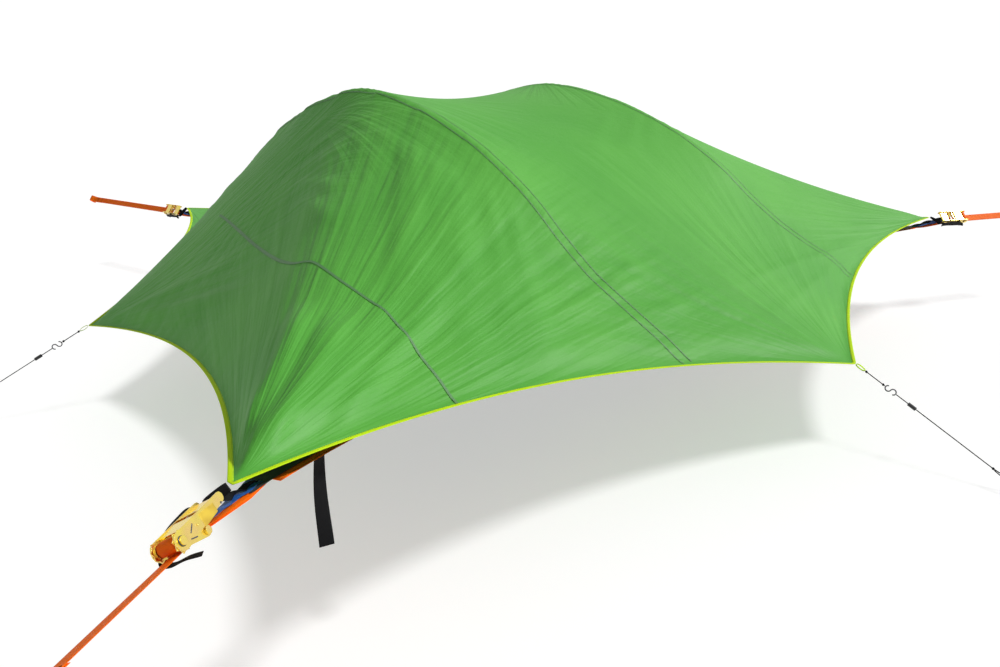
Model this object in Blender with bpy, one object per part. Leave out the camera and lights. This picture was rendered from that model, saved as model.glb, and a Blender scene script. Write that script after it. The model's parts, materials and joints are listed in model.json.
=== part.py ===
"""Suspended three-corner tree tent: floor, mesh canopy on two hoop poles, flysheet, three ratchet corners.

Metres, +Z up. The origin is the middle of the floor triangle, in the plane of its webbing.
The front, with the door, faces -Y; the third corner points to +Y.
"""

import math

import bpy
import numpy as np
from mathutils import Matrix, Vector
from mathutils.geometry import delaunay_2d_cdt

for old in list(bpy.data.objects):
    bpy.data.objects.remove(old, do_unlink=True)

# Gaps between touching pieces
GAP = 0.0003
CUT_PAST = 0.001

# Floor triangle and its webbing
SIDE = 4.1
CORNER_R = SIDE / math.sqrt(3)
EDGE_HOLLOW = 0.18
STRAP_W = 0.035
STRAP_T = 0.0022
EDGE_START = 0.115
STRAP_OUTSIDE = 0.020
SHEET_T = 0.002
FLOOR_START = 0.30
PATCH_W = 0.028
PATCH_OUT = -0.045
ANTI_ROLL_W = 0.025
ANTI_ROLL_START = 0.36

# Rise of each corner's pull over the floor, and reach of its tree strap beyond the corner
LEFT_RISE = 0.010
RIGHT_RISE = 0.026
REAR_RISE = 0.012
LEFT_REACH = 0.66
RIGHT_REACH = 0.62
REAR_REACH = 1.20

# Corners: direction and roll of the ratchet about its pull, in degrees, with that rise and reach
CORNERS = {
    "front_left": (210, 29, LEFT_RISE, LEFT_REACH),
    "front_right": (330, 50, RIGHT_RISE, RIGHT_REACH),
    "rear": (90, -55, REAR_RISE, REAR_REACH),
}

# Hatch in the floor
HATCH_SIDE = 0.50
HATCH_GAP = 0.0008

# Hoop poles
POLE_R = 0.0045
FRONT_FOOT_SHARE = 0.341
REAR_FOOT_SHARE = 0.705
HOOP_H = 0.722
HOOP_FLAT_POWER = 1.6
HOOP_FOOT_POWER = 1.6
HOOP_STATIONS = 22
FOOT_RUN = 0.030
POLE_CLEAR = 0.0006
SLEEVE_WALL = 0.001
SLEEVE_END_SHARE = 0.14

# Canopy under the poles
CANOPY_DROP = 0.045
CANOPY_INSET = 0.012
CANOPY_GRID = 0.24
DOOR_FRONT = 0.19
DOOR_DEEP = 0.46
DOOR_FRONT_W = 0.84
DOOR_BACK_W = 0.60
DOOR_GAP = 0.0008

# Flysheet
FLY_RISE = 0.045
GUY_R = 1.593
SIDE_GUY_DROP = 0.120
FRONT_GUY_DROP = 0.148
HEM_HOLLOW = 0.15
HEM_LIFT = 0.045
CROSS_PULL = 3.0
PULL_SAG = 0.055
FLY_GRID = 0.20
FLY_T = 0.003
FLY_OVER_POLE = 0.0114
FLY_OVER_CANOPY = 0.018
FLY_OVER_STRAP = 0.006
STRAP_MARGIN = 0.010
BINDING_W = 0.010
BINDING_T = 0.005
MITRE_SHARE = 0.7

# Guys
GUY_SLOPE = math.radians(29.5)
CORD_R = 0.0016
HOOK_R = 0.0022
GUY_LOOP_W = 0.010
GUY_LOOP_L = 0.034
HOOK_START = 0.114
HOOK_BOW = 0.0095
RUNNER_AT = 0.213
RUNNER_L = 0.028
RUNNER_R = 0.006
LINE_KNOT = 0.50
LINE_END = 0.61
LINE_LOOP_W = 0.022

# Ratchets, measured from the corner along the pull
BOLT_OUT = 0.140
DRUM_OUT = 0.212
BOLT_R = 0.0045
BOLT_HEAD_R = 0.008
BOLT_HEAD_T = 0.005
PLATE_T = 0.002
INSIDE_W = 0.041
FRAME_DRUM_R = 0.013
FRAME_BOLT_R = 0.011
WHEEL_R = 0.021
WHEEL_ROOT_R = 0.0165
WHEEL_TEETH = 8
SHAFT_R = 0.005
NUT_R = 0.0085
NUT_T = 0.0045
CORE_R = 0.0065
WOUND_TURNS = 2.4
WOUND_STEP = 0.0028
TURN_POINTS = 18
ARM_DRUM_R = 0.018
ARM_TIP_R = 0.010
HANDLE_L = 0.146
HANDLE_RAISE = math.radians(5)
GRIP_L = 0.036
GRIP_T = 0.010
PAWL_T = 0.003
PAWL_L = 0.046
PAWL_LIFT = 0.0105
LOCK_L = 0.022
LOCK_DROP = 0.0045
LOCK_TRAVEL = 0.004
DRIVE_TRAVEL = 0.006
SPRING_L = 0.009
TOOTH_CLEAR = 0.0009
SEAT_T = 0.003
SEAT_H = 0.006
EYE_R = 0.020
EYE_SEWN = 0.075

# Hanging webbing and the flysheet's corner straps
TAIL_SHARE = 0.0635
TAIL_L = 0.22
TAIL_TURN = math.radians(35)
TAIL_T = 0.0014
TAIL_GAP = 0.0008
FLY_STRAP_W = 0.022
FLY_STRAP_OFF = 0.038

# Route of the flysheet's strap: shares of the drum's reach, its offset, an arm's half height, the underside
FLY_STRAP_SHARES = (
    (0.23, 0.8, 1.3, 0.0),
    (0.31, 1.0, 1.0, 0.0),
    (0.5, 1.0, 0.9, 0.0),
    (0.85, 1.0, 0.5, 0.0),
    (0.95, 0.95, 0.0, 0.5),
    (0.97, 0.5, 0.0, 1.0),
    (0.96, -0.3, 0.0, 1.0),
    (0.92, -0.9, 0.0, 1.4),
)

# Zip sliders
SLIDER_L = 0.014
SLIDER_W = 0.008
SLIDER_T = 0.004
SLIDER_TRAVEL = 0.40
SLIDER_LIFT = 0.0004

MATERIALS = {
    "fly_fabric": ((0.10, 0.36, 0.06), 0.45, 0.0),
    "neon_binding": ((0.62, 0.90, 0.02), 0.55, 0.0),
    "orange_webbing": ((0.95, 0.20, 0.02), 0.6, 0.0),
    "black_webbing": ((0.02, 0.02, 0.022), 0.7, 0.0),
    "floor_fabric": ((0.10, 0.11, 0.12), 0.6, 0.0),
    "mesh_fabric": ((0.05, 0.055, 0.06), 0.8, 0.0),
    "pole_alloy": ((0.45, 0.47, 0.50), 0.3, 1.0),
    "zinc_steel": ((0.80, 0.62, 0.18), 0.3, 1.0),
    "black_plastic": ((0.02, 0.02, 0.02), 0.5, 0.0),
    "dark_steel": ((0.12, 0.12, 0.13), 0.35, 1.0),
    "cord_black": ((0.015, 0.015, 0.017), 0.8, 0.0),
}


def material(name):
    """One Principled material per finish."""
    found = bpy.data.materials.get(name)
    if found:
        return found
    colour, rough, metal = MATERIALS[name]
    made = bpy.data.materials.new(name)
    made.use_nodes = True
    shader = made.node_tree.nodes["Principled BSDF"]
    shader.inputs["Base Color"].default_value = (*colour, 1.0)
    shader.inputs["Roughness"].default_value = rough
    shader.inputs["Metallic"].default_value = metal
    return made


def place(name, mesh, finish, matrix=None):
    """Links one named piece that may share its mesh with another."""
    obj = bpy.data.objects.new(name, mesh)
    bpy.context.scene.collection.objects.link(obj)
    if not mesh.materials:
        mesh.materials.append(material(finish))
    if matrix is not None:
        obj.matrix_world = matrix
    return obj


def new_mesh(name, verts, faces, smooth=False):
    """A mesh from points and faces; faces are turned to point outwards."""
    mesh = bpy.data.meshes.new(name)
    mesh.from_pydata([tuple(v) for v in verts], [], faces)
    mesh.validate()
    mesh.update()
    if signed_volume(mesh) < 0:
        mesh.flip_normals()
    if smooth:
        mesh.shade_smooth()
        mesh.set_sharp_from_angle(angle=math.radians(40))
    return mesh


def signed_volume(mesh):
    mesh.calc_loop_triangles()
    total = 0.0
    for tri in mesh.loop_triangles:
        a, b, c = (mesh.vertices[i].co for i in tri.vertices)
        total += a.dot(b.cross(c))
    return total / 6


def moved(part, matrix):
    verts, faces = part
    return [tuple(matrix @ Vector(v)) for v in verts], faces


# Flat and swept shapes
def inside(point, loop):
    """Whether a plan point lies inside a closed loop."""
    x, y = point
    found = False
    for (x0, y0), (x1, y1) in zip(loop, loop[1:] + loop[:1]):
        if (y0 > y) != (y1 > y) and x < (x1 - x0) * (y - y0) / (y1 - y0) + x0:
            found = not found
    return found


def mesh_plan(loops, lines=(), spots=()):
    """Triangulates a plan from closed loops, open lines and loose points."""
    points, edges = [], []
    for loop in loops:
        start = len(points)
        points += loop
        count = len(loop)
        edges += [(start + i, start + (i + 1) % count) for i in range(count)]
    for line in lines:
        start = len(points)
        points += line
        edges += [(start + i, start + i + 1) for i in range(len(line) - 1)]
    points += list(spots)
    out = delaunay_2d_cdt([Vector(p) for p in points], edges, [], 0, CUT_PAST * CUT_PAST)
    flat = [tuple(v) for v in out[0]]
    tris = []
    for tri in out[2]:
        centre = tuple(sum(flat[i][k] for i in tri) / 3 for k in (0, 1))
        if inside(centre, loops[0]) and not any(inside(centre, loop) for loop in loops[1:]):
            tris.append(tuple(tri))
    used = sorted({i for tri in tris for i in tri})
    index = {old: new for new, old in enumerate(used)}
    return [flat[i] for i in used], [tuple(index[i] for i in tri) for tri in tris]


def rim(tris):
    """Directed boundary edges of a triangle patch."""
    seen = {(a, b) for t in tris for a, b in zip(t, t[1:] + t[:1])}
    return [(a, b) for a, b in seen if (b, a) not in seen]


def slab(flat, tris, low, high):
    """A closed solid between two height lists over one triangulated plan."""
    count = len(flat)
    turn = sum(
        (flat[b][0] - flat[a][0]) * (flat[c][1] - flat[a][1])
        - (flat[c][0] - flat[a][0]) * (flat[b][1] - flat[a][1])
        for a, b, c in tris
    )
    if turn < 0:
        tris = [t[::-1] for t in tris]
    verts = [(x, y, z) for heights in (high, low) for (x, y), z in zip(flat, heights)]
    faces = list(tris) + [tuple(i + count for i in t[::-1]) for t in tris]
    faces += [(b, a, a + count, b + count) for a, b in rim(tris)]
    return verts, faces


def flat_slab(loops, low, high):
    flat, tris = mesh_plan(loops)
    return slab(flat, tris, [low] * len(flat), [high] * len(flat))


def plate(outline, holes, y_low, y_high):
    """A flat plate whose outline lies in X-Z and whose thickness runs along Y."""
    verts, faces = flat_slab([outline] + holes, y_low, y_high)
    return [(x, thick, z) for x, z, thick in verts], faces


def circle(x, y, radius, count, start=0.0):
    step = 2 * math.pi / count
    turns = [start + i * step for i in range(count)]
    return [(x + radius * math.cos(a), y + radius * math.sin(a)) for a in turns]


def capsule(x0, z0, r0, x1, z1, r1, count=7):
    """Outline round two circles joined by their tangents."""
    angle = math.atan2(z1 - z0, x1 - x0)
    lean = math.acos((r0 - r1) / math.hypot(x1 - x0, z1 - z0))
    points = []
    for i in range(count):
        a = angle + lean + (2 * math.pi - 2 * lean) * i / (count - 1)
        points.append((x0 + r0 * math.cos(a), z0 + r0 * math.sin(a)))
    for i in range(count):
        a = angle - lean + 2 * lean * i / (count - 1)
        points.append((x1 + r1 * math.cos(a), z1 + r1 * math.sin(a)))
    return points


def box(low, high):
    outline = [(low[0], low[1]), (high[0], low[1]), (high[0], high[1]), (low[0], high[1])]
    return flat_slab([outline], low[2], high[2])


def turned(profile, count, axis="Y"):
    """A closed solid of rings: each row gives the place along the axis and a radius or a list of radii."""
    verts, faces = [], []
    for along, radius in profile:
        radii = radius if isinstance(radius, (list, tuple)) else [radius] * count
        for i, r in enumerate(radii):
            a = 2 * math.pi * i / count
            verts.append((r * math.cos(a), along, r * math.sin(a)))
    for row in range(len(profile) - 1):
        for i in range(count):
            j = (i + 1) % count
            faces.append((row * count + i, row * count + j, (row + 1) * count + j, (row + 1) * count + i))
    faces.append(tuple(range(count))[::-1])
    last = (len(profile) - 1) * count
    faces.append(tuple(range(last, last + count)))
    if axis == "Z":
        verts = [(x, -z, y) for x, y, z in verts]
    if axis == "X":
        verts = [(y, -x, z) for x, y, z in verts]
    return verts, faces


def band(points, sides, width, thick):
    """A flat strap swept along points; sides are its width directions."""
    verts, faces = [], []
    points = [Vector(p) for p in points]
    for i, p in enumerate(points):
        before = points[max(i - 1, 0)]
        after = points[min(i + 1, len(points) - 1)]
        run = (after - before).normalized()
        side = Vector(sides[i] if isinstance(sides, list) else sides)
        side = (side - run * side.dot(run)).normalized()
        up = run.cross(side)
        bend = 1.0
        if 0 < i < len(points) - 1:
            first = (p - before).normalized()
            bend = max(math.sqrt((1 + first.dot((after - p).normalized())) / 2), 0.5)
        for a, b in ((-1, -1), (1, -1), (1, 1), (-1, 1)):
            verts.append(p + side * (a * width / 2) + up * (b * thick / 2 / bend))
    last = len(points) - 1
    for i in range(last):
        for k in range(4):
            m = (k + 1) % 4
            a, b, c, d = i * 4 + k, i * 4 + m, i * 4 + 4 + m, i * 4 + 4 + k
            faces += [(a, b, c), (a, c, d)]
    faces += [(3, 2, 1, 0), (last * 4, last * 4 + 1, last * 4 + 2, last * 4 + 3)]
    return verts, faces


def tube(name, lines, radius, finish, resolution=2, matrix=None):
    """Round cords or rods as a curve with filled caps, one spline for each line of points."""
    curve = bpy.data.curves.new(name, "CURVE")
    curve.dimensions = "3D"
    curve.bevel_depth = radius
    curve.bevel_resolution = resolution
    curve.use_fill_caps = True
    for points in lines:
        line = curve.splines.new("POLY")
        line.points.add(len(points) - 1)
        for spot, p in zip(line.points, points):
            spot.co = (*p, 1.0)
    curve.materials.append(material(finish))
    obj = bpy.data.objects.new(name, curve)
    bpy.context.scene.collection.objects.link(obj)
    if matrix is not None:
        obj.matrix_world = matrix
    return obj


def smooth_line(route, count):
    """Evenly shared points on a smooth curve through a route."""
    route = [Vector(p) for p in route]
    ends = [route[0] * 2 - route[1]] + route + [route[-1] * 2 - route[-2]]
    points = []
    spans = len(route) - 1
    for n in range(count):
        at = n * spans / (count - 1)
        k = min(int(at), spans - 1)
        t = at - k
        a, b, c, d = ends[k : k + 4]
        bend = (2 * a - 5 * b + 4 * c - d) * t**2 + (3 * b - 3 * c + d - a) * t**3
        points.append(0.5 * (2 * b + (c - a) * t + bend))
    return points


# Plan of the tent
def polar(angle, radius):
    return Vector((radius * math.cos(math.radians(angle)), radius * math.sin(math.radians(angle)), 0.0))


# Guys: direction in degrees and drop of the hem's corner below the floor
GUYS = {"left": (150, SIDE_GUY_DROP), "front": (270, FRONT_GUY_DROP), "right": (30, SIDE_GUY_DROP)}
EDGES = {
    "front": ("front_left", "front_right"),
    "right": ("front_right", "rear"),
    "left": ("rear", "front_left"),
}


def edge_point(edge, share, outward=0.0):
    """A point on a hollow floor edge, moved outwards in plan."""
    a, b = (polar(CORNERS[c][0], CORNER_R) for c in EDGES[edge])
    inward = -((a + b) / 2).normalized()
    hollow = EDGE_HOLLOW * (1 - (2 * share - 1) ** 4)
    return a + (b - a) * share + inward * (hollow - outward)


def edge_shares(start, count):
    """Shares along an edge between two points a given length from its corners."""
    first = start / SIDE
    return [first + (1 - 2 * first) * i / (count - 1) for i in range(count)]


def floor_outline(inset, start, count):
    points = []
    for edge in EDGES:
        points += [edge_point(edge, s, -inset).xy for s in edge_shares(start, count)]
    return [tuple(p) for p in points]


def floor_with_corners():
    """The floor's outline with a narrow reinforced tongue out to each corner."""
    points = []
    outer = CORNER_R + PATCH_OUT
    for edge, (_, corner) in EDGES.items():
        points += [edge_point(edge, s).xy for s in edge_shares(FLOOR_START, 12)]
        angle = CORNERS[corner][0]
        neck = CORNER_R - EDGE_START
        for reach, off in ((neck, -PATCH_W), (outer, -PATCH_W / 2), (outer, PATCH_W / 2), (neck, PATCH_W)):
            points.append((polar(angle, reach) + polar(angle + 90, off)).xy)
    return [tuple(p) for p in points]


def hem_outline(outward=0.0, per_side=9):
    """The flysheet's six-cornered hem with hollow sides, as plan points with heights."""
    corners = []
    for angle, _, _, _ in CORNERS.values():
        corners.append((angle, polar(angle, CORNER_R), FLY_RISE))
    for angle, drop in GUYS.values():
        corners.append((angle, polar(angle, GUY_R), -drop))
    corners.sort(key=lambda c: c[0])
    points, heights = [], []
    for (_, a, za), (_, b, zb) in zip(corners, corners[1:] + corners[:1]):
        run = b - a
        inward = Vector((-run.y, run.x, 0)).normalized()
        for i in range(per_side):
            t = i / per_side
            points.append((a + run * t + inward * HEM_HOLLOW * 4 * t * (1 - t)).xy)
            heights.append(za + (zb - za) * t + HEM_LIFT * 4 * t * (1 - t))
    if outward:
        points = widened(points, outward)
    return [tuple(p) for p in points], heights


def widened(points, outward):
    """Moves a closed anticlockwise loop outwards, mitred at its corners."""
    made = []
    count = len(points)
    for i, p in enumerate(points):
        a = (Vector(p) - Vector(points[i - 1])).normalized()
        b = (Vector(points[(i + 1) % count]) - Vector(p)).normalized()
        na, nb = Vector((a.y, -a.x)), Vector((b.y, -b.x))
        mitre = (na + nb).normalized()
        made.append(Vector(p) + mitre * (outward / max(mitre.dot(na), MITRE_SHARE)))
    return made


# Hoop poles
WEB_TOP = STRAP_T + STRAP_T / 4
FLOOR_LOW = WEB_TOP + GAP
FLOOR_TOP = FLOOR_LOW + SHEET_T
FOOT_Z = WEB_TOP + GAP


def hoop_line(side):
    """Centre line of one hoop: side is -1 for the left pole and 1 for the right."""
    off = STRAP_OUTSIDE / 2
    share = FRONT_FOOT_SHARE if side < 0 else 1 - FRONT_FOOT_SHARE
    front = edge_point("front", share, off)
    if side < 0:
        rear = edge_point("left", 1 - REAR_FOOT_SHARE, off)
    else:
        rear = edge_point("right", REAR_FOOT_SHARE, off)
    points = [front + Vector((0, 0, FOOT_Z))]
    low = FOOT_Z + FOOT_RUN
    for i in range(HOOP_STATIONS + 1):
        turn = math.pi * i / HOOP_STATIONS
        along = abs(math.cos(turn)) ** (2 / HOOP_FLAT_POWER) * (1 if turn < math.pi / 2 else -1)
        lift = math.sin(turn) ** (2 / HOOP_FOOT_POWER) if 0 < i < HOOP_STATIONS else 0.0
        p = front + (rear - front) * (0.5 - along / 2)
        points.append(p + Vector((0, 0, low + (HOOP_H - low) * lift)))
    points.append(rear + Vector((0, 0, FOOT_Z)))
    return points


HOOPS = {"left": hoop_line(-1), "right": hoop_line(1)}


# Stretched cloth
SETTLE_ROUNDS = 40
CLOTH_PARTS = 100


def stretched(flat, tris, held, lowest=None):
    """Heights of a cloth stretched between held points, resting on what lies under it where it would sink."""
    count = len(flat)
    stiff = np.zeros((count, count))
    xy = np.array(flat)
    for tri in tris:
        for k in range(3):
            i, j, o = tri[k], tri[(k + 1) % 3], tri[(k + 2) % 3]
            u, v = xy[i] - xy[o], xy[j] - xy[o]
            weight = 0.5 * float(u @ v) / max(abs(u[0] * v[1] - u[1] * v[0]), GAP * GAP)
            weight = max(weight, 0.02)
            stiff[i, j] -= weight
            stiff[j, i] -= weight
            stiff[i, i] += weight
            stiff[j, j] += weight
    resting = {}
    for _ in range(SETTLE_ROUNDS):
        fixed = {**resting, **held}
        ids = list(fixed)
        free = [i for i in range(count) if i not in fixed]
        z = np.zeros(count)
        z[ids] = [fixed[i] for i in ids]
        z[free] = np.linalg.solve(stiff[np.ix_(free, free)], -stiff[np.ix_(free, ids)] @ z[ids])
        if lowest is None:
            break
        push = stiff @ z
        lifted = [i for i in resting if push[i] < 0]
        sunk = [i for i in free if z[i] < lowest[i] - GAP / CLOTH_PARTS]
        if not sunk and not lifted:
            break
        resting = {i: h for i, h in resting.items() if i not in lifted}
        resting.update({i: lowest[i] for i in sunk})
    return z


def height_over(flat, tris, heights, spots):
    """Heights of a triangulated cloth over plan spots, or None outside it."""
    xy, z, t = np.array(flat), np.array(heights), np.array(tris)
    a, b, c = xy[t[:, 0]], xy[t[:, 1]], xy[t[:, 2]]
    area = (b[:, 0] - a[:, 0]) * (c[:, 1] - a[:, 1]) - (c[:, 0] - a[:, 0]) * (b[:, 1] - a[:, 1])
    found = []
    for x, y in spots:
        u = ((b[:, 0] - x) * (c[:, 1] - y) - (c[:, 0] - x) * (b[:, 1] - y)) / area
        v = ((c[:, 0] - x) * (a[:, 1] - y) - (a[:, 0] - x) * (c[:, 1] - y)) / area
        w = 1 - u - v
        k = int(np.argmax(np.minimum(np.minimum(u, v), w)))
        good = min(u[k], v[k], w[k]) > -1e-6
        height = float(u[k] * z[t[k, 0]] + v[k] * z[t[k, 1]] + w[k] * z[t[k, 2]])
        found.append(height if good else None)
    return found


def grid_spots(loop, spacing, clear, lines):
    """Triangular grid points inside a loop, clear of its rim and of given lines."""
    rows = []
    xs, ys = [p[0] for p in loop], [p[1] for p in loop]
    step_y = spacing * math.sqrt(3) / 2
    avoid = [Vector(p) for p in loop] + [Vector(p[:2]) for line in lines for p in line]
    n_y = int((max(ys) - min(ys)) / step_y) + 2
    n_x = int((max(xs) - min(xs)) / spacing / 2) + 2
    for j in range(n_y):
        for i in range(-n_x, n_x + 1):
            p = Vector((spacing * (i + 0.5 * (j % 2)), min(ys) + step_y * (j + 0.5)))
            if inside(p, loop) and min((p - q).length for q in avoid) > clear:
                rows.append(tuple(p))
    return rows


def inner_stations(loop, clear):
    """Hoop points well inside a loop, with their heights, for both hoops."""
    found = {}
    for name, line in HOOPS.items():
        within = [p for p in line[2:-2] if inside(p.xy, loop)]
        found[name] = [p for p in within if min(math.dist(q, p.xy) for q in loop) > clear]
    return found


# Canopy
CANOPY_LOOP = floor_outline(CANOPY_INSET, FLOOR_START + CANOPY_INSET, 12)
CANOPY_STATIONS = inner_stations(CANOPY_LOOP, CANOPY_GRID / 4)
DOOR_Y = edge_point("front", 0.5).y + DOOR_FRONT
DOOR_HOLE = [
    (-DOOR_FRONT_W / 2, DOOR_Y),
    (0, DOOR_Y),
    (DOOR_FRONT_W / 2, DOOR_Y),
    (DOOR_BACK_W / 2, DOOR_Y + DOOR_DEEP),
    (0, DOOR_Y + DOOR_DEEP),
    (-DOOR_BACK_W / 2, DOOR_Y + DOOR_DEEP),
]
DOOR_PANEL = [tuple(p) for p in widened([Vector(p) for p in DOOR_HOLE], -DOOR_GAP)]


def canopy_plan():
    lines = [[tuple(p.xy) for p in line] for line in CANOPY_STATIONS.values()]
    doors = [DOOR_HOLE + DOOR_HOLE[:1], DOOR_PANEL + DOOR_PANEL[:1]]
    spots = grid_spots(CANOPY_LOOP, CANOPY_GRID, CANOPY_GRID / 2, lines + doors)
    flat, tris = mesh_plan([CANOPY_LOOP], lines + doors, spots)
    held = {}
    on_rim = {i for edge in rim(tris) for i in edge}
    rim_z = FLOOR_TOP + GAP + SHEET_T / 2
    for i, p in enumerate(flat):
        if i in on_rim:
            held[i] = rim_z
    for line in CANOPY_STATIONS.values():
        for p in line:
            i = min(range(len(flat)), key=lambda n: (Vector(flat[n]) - p.xy).length)
            held[i] = p.z - CANOPY_DROP
    return flat, tris, stretched(flat, tris, held)


CANOPY = canopy_plan()


def cloth_piece(plan, thick):
    """A thin closed solid from triangles of a stretched cloth."""
    flat, tris, z = plan
    used = sorted({i for t in tris for i in t})
    index = {old: new for new, old in enumerate(used)}
    low = [z[i] - thick / 2 for i in used]
    high = [z[i] + thick / 2 for i in used]
    return slab([flat[i] for i in used], [tuple(index[i] for i in t) for t in tris], low, high)


# Flysheet
def webbing_lines(loop):
    """Lines just outside the floor's webbing, where the flysheet bends over it."""
    lines = []
    for edge in EDGES:
        shares = edge_shares(FLOOR_START, 24)
        points = [tuple(edge_point(edge, s, STRAP_OUTSIDE + STRAP_MARGIN).xy) for s in shares]
        within = [p for p in points if inside(p, loop)]
        lines.append([p for p in within if min(math.dist(p, q) for q in loop) > 2 * STRAP_MARGIN])
    return lines


def squeezed(points):
    """Plan points narrowed across the tent: cloth stretched over them pulls harder from hoop to hoop."""
    return [(p[0] / math.sqrt(CROSS_PULL), p[1]) for p in points]


def pulled_height(spot):
    """How high the cloth is drawn over a plan spot by straight pulls from the outer corners to the hoops."""
    best = -CORNER_R
    for name, angle, radius, rise in (
        ("left", CORNERS["front_left"][0], CORNER_R, FLY_RISE),
        ("left", GUYS["left"][0], GUY_R, -SIDE_GUY_DROP),
        ("right", CORNERS["front_right"][0], CORNER_R, FLY_RISE),
        ("right", GUYS["right"][0], GUY_R, -SIDE_GUY_DROP),
    ):
        corner = polar(angle, radius).xy
        line = HOOPS[name][1:-1]
        ray, run = Vector(spot) - corner, (line[-1] - line[0]).xy
        cross = ray.x * run.y - ray.y * run.x
        start = line[0].xy - corner
        if abs(cross) < GAP * GAP:
            continue
        beyond = (start.x * run.y - start.y * run.x) / cross
        along = (start.x * ray.y - start.y * ray.x) / cross
        if beyond > 1 and 0 < along < 1:
            ys = [p.y for p in line]
            pole = float(np.interp(line[0].y + run.y * along, ys, [p.z for p in line]))
            height = pole + FLY_OVER_POLE
            t = 1 / beyond
            best = max(best, rise + (height - rise) * t - PULL_SAG * 4 * t * (1 - t))
    return best


def fly_plan():
    loop, heights = hem_outline()
    stations = inner_stations(loop, FLY_GRID / 2)
    lines = [[tuple(p.xy) for p in line] for line in stations.values()]
    lines += webbing_lines(loop)
    narrow = squeezed(loop)
    narrow_lines = [squeezed(line) for line in lines]
    spots = grid_spots(narrow, FLY_GRID, FLY_GRID / 2, narrow_lines)
    plan, tris = mesh_plan([narrow], narrow_lines, spots)
    flat = [(x * math.sqrt(CROSS_PULL), y) for x, y in plan]
    held = {}
    for p, z in zip(loop, heights):
        held[min(range(len(flat)), key=lambda n: math.dist(flat[n], p))] = z
    under = height_over(*CANOPY, flat)
    outline = floor_outline(-STRAP_OUTSIDE - 2 * STRAP_MARGIN, FLOOR_START / 2, 20)
    lowest = []
    for p, z in zip(flat, under):
        if z is None:
            lowest.append(WEB_TOP + FLY_OVER_STRAP if inside(p, outline) else -CORNER_R)
        else:
            lowest.append(z + FLY_OVER_CANOPY)
    lowest = [max(z, pulled_height(p)) for p, z in zip(flat, lowest)]
    for line in stations.values():
        for p in line:
            lowest[min(range(len(flat)), key=lambda n: math.dist(flat[n], p.xy))] = p.z + FLY_OVER_POLE
    return flat, tris, stretched(plan, tris, held, lowest)


FLY = fly_plan()


def make_cloth():
    fly_flat, fly_tris, fly_z = FLY
    flat, tris, z = CANOPY
    centres = [tuple(sum(flat[i][k] for i in t) / 3 for k in (0, 1)) for t in tris]
    walls = [t for t, c in zip(tris, centres) if not inside(c, DOOR_HOLE)]
    door = [t for t, c in zip(tris, centres) if inside(c, DOOR_PANEL)]
    for name, plan, thick, finish in (
        ("fly_sheet", (fly_flat, fly_tris, fly_z), FLY_T, "fly_fabric"),
        ("mesh_canopy", (flat, walls, z), SHEET_T, "mesh_fabric"),
        ("door_panel", (flat, door, z), SHEET_T, "mesh_fabric"),
    ):
        place(name, new_mesh(name, *cloth_piece(plan, thick), smooth=True), finish)


def make_binding():
    """Folded tape round the flysheet's hem."""
    inner, heights = hem_outline(GAP)
    outer, _ = hem_outline(GAP + BINDING_W)
    count = len(inner)
    verts, faces = [], []
    for ring, lift in ((inner, -1), (outer, -1), (outer, 1), (inner, 1)):
        verts += [(x, y, z + lift * BINDING_T / 2) for (x, y), z in zip(ring, heights)]
    for i in range(count):
        j = (i + 1) % count
        for k in range(4):
            m = (k + 1) % 4
            faces.append((k * count + i, k * count + j, m * count + j, m * count + i))
    parts = [(verts, faces)] + [guy_loop(name) for name in GUYS]
    place("fly_binding", fused("fly_binding", parts, "neon_binding"), "neon_binding")


# Floor
def hatch_loop(side):
    return [(-side / 2, -side / 2), (side / 2, -side / 2), (side / 2, side / 2), (-side / 2, side / 2)]


def make_floor():
    floor = flat_slab([floor_with_corners(), hatch_loop(HATCH_SIDE)], FLOOR_LOW, FLOOR_TOP)
    place("floor_panel", new_mesh("floor_panel", *floor), "floor_fabric")
    half = HATCH_SIDE / 2 - HATCH_GAP
    hinge = Matrix.Translation((0, half, FLOOR_LOW))
    flap = box((-half, -2 * half, 0), (half, 0, SHEET_T))
    place("hatch_flap", new_mesh("hatch_flap", *flap), "floor_fabric", hinge)
    low = FLOOR_TOP + GAP
    slider = box((-SLIDER_L / 2, -SLIDER_W / 2, 0), (SLIDER_L / 2, SLIDER_W / 2, SLIDER_T))
    spot = Matrix.Translation((half - SLIDER_L, -HATCH_SIDE / 2, low))
    place("hatch_zip_slider", new_mesh("hatch_zip_slider", *slider), "dark_steel", spot)
    place("door_zip_slider", new_mesh("door_zip_slider", *slider), "dark_steel", door_slider_matrix())


def door_slider_matrix():
    """The slider's frame on the canopy at the door's lower corner: X along its travel, Z off the cloth."""
    start = DOOR_FRONT_W / 2 - SLIDER_L
    spots = [(start, DOOR_Y), (start - SLIDER_TRAVEL, DOOR_Y)]
    spots += [(start, DOOR_Y + SLIDER_W), (start, DOOR_Y - SLIDER_W)]
    a, b, c, d = (Vector((*p, z)) for p, z in zip(spots, height_over(*CANOPY, spots)))
    along = (b - a).normalized()
    up = along.cross((d - c).normalized()).normalized()
    across = up.cross(along)
    place_at = a + up * (SHEET_T / 2 / up.z + SLIDER_LIFT)
    return Matrix.Translation(place_at) @ Matrix((along, across, up)).transposed().to_4x4()


def make_edge_straps():
    for edge in EDGES:
        middle = STRAP_OUTSIDE - STRAP_W / 2
        shares = edge_shares(EDGE_START, 21)
        points = [edge_point(edge, s, middle) + Vector((0, 0, WEB_TOP - STRAP_T / 2)) for s in shares]
        sides = []
        for i in range(len(points)):
            run = points[min(i + 1, len(points) - 1)] - points[max(i - 1, 0)]
            sides.append(run.cross(Vector((0, 0, 1))).normalized())
        name = "edge_strap_" + edge
        place(name, new_mesh(name, *band(points, sides, STRAP_W, STRAP_T)), "orange_webbing")
    make_anti_roll_web()


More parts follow.
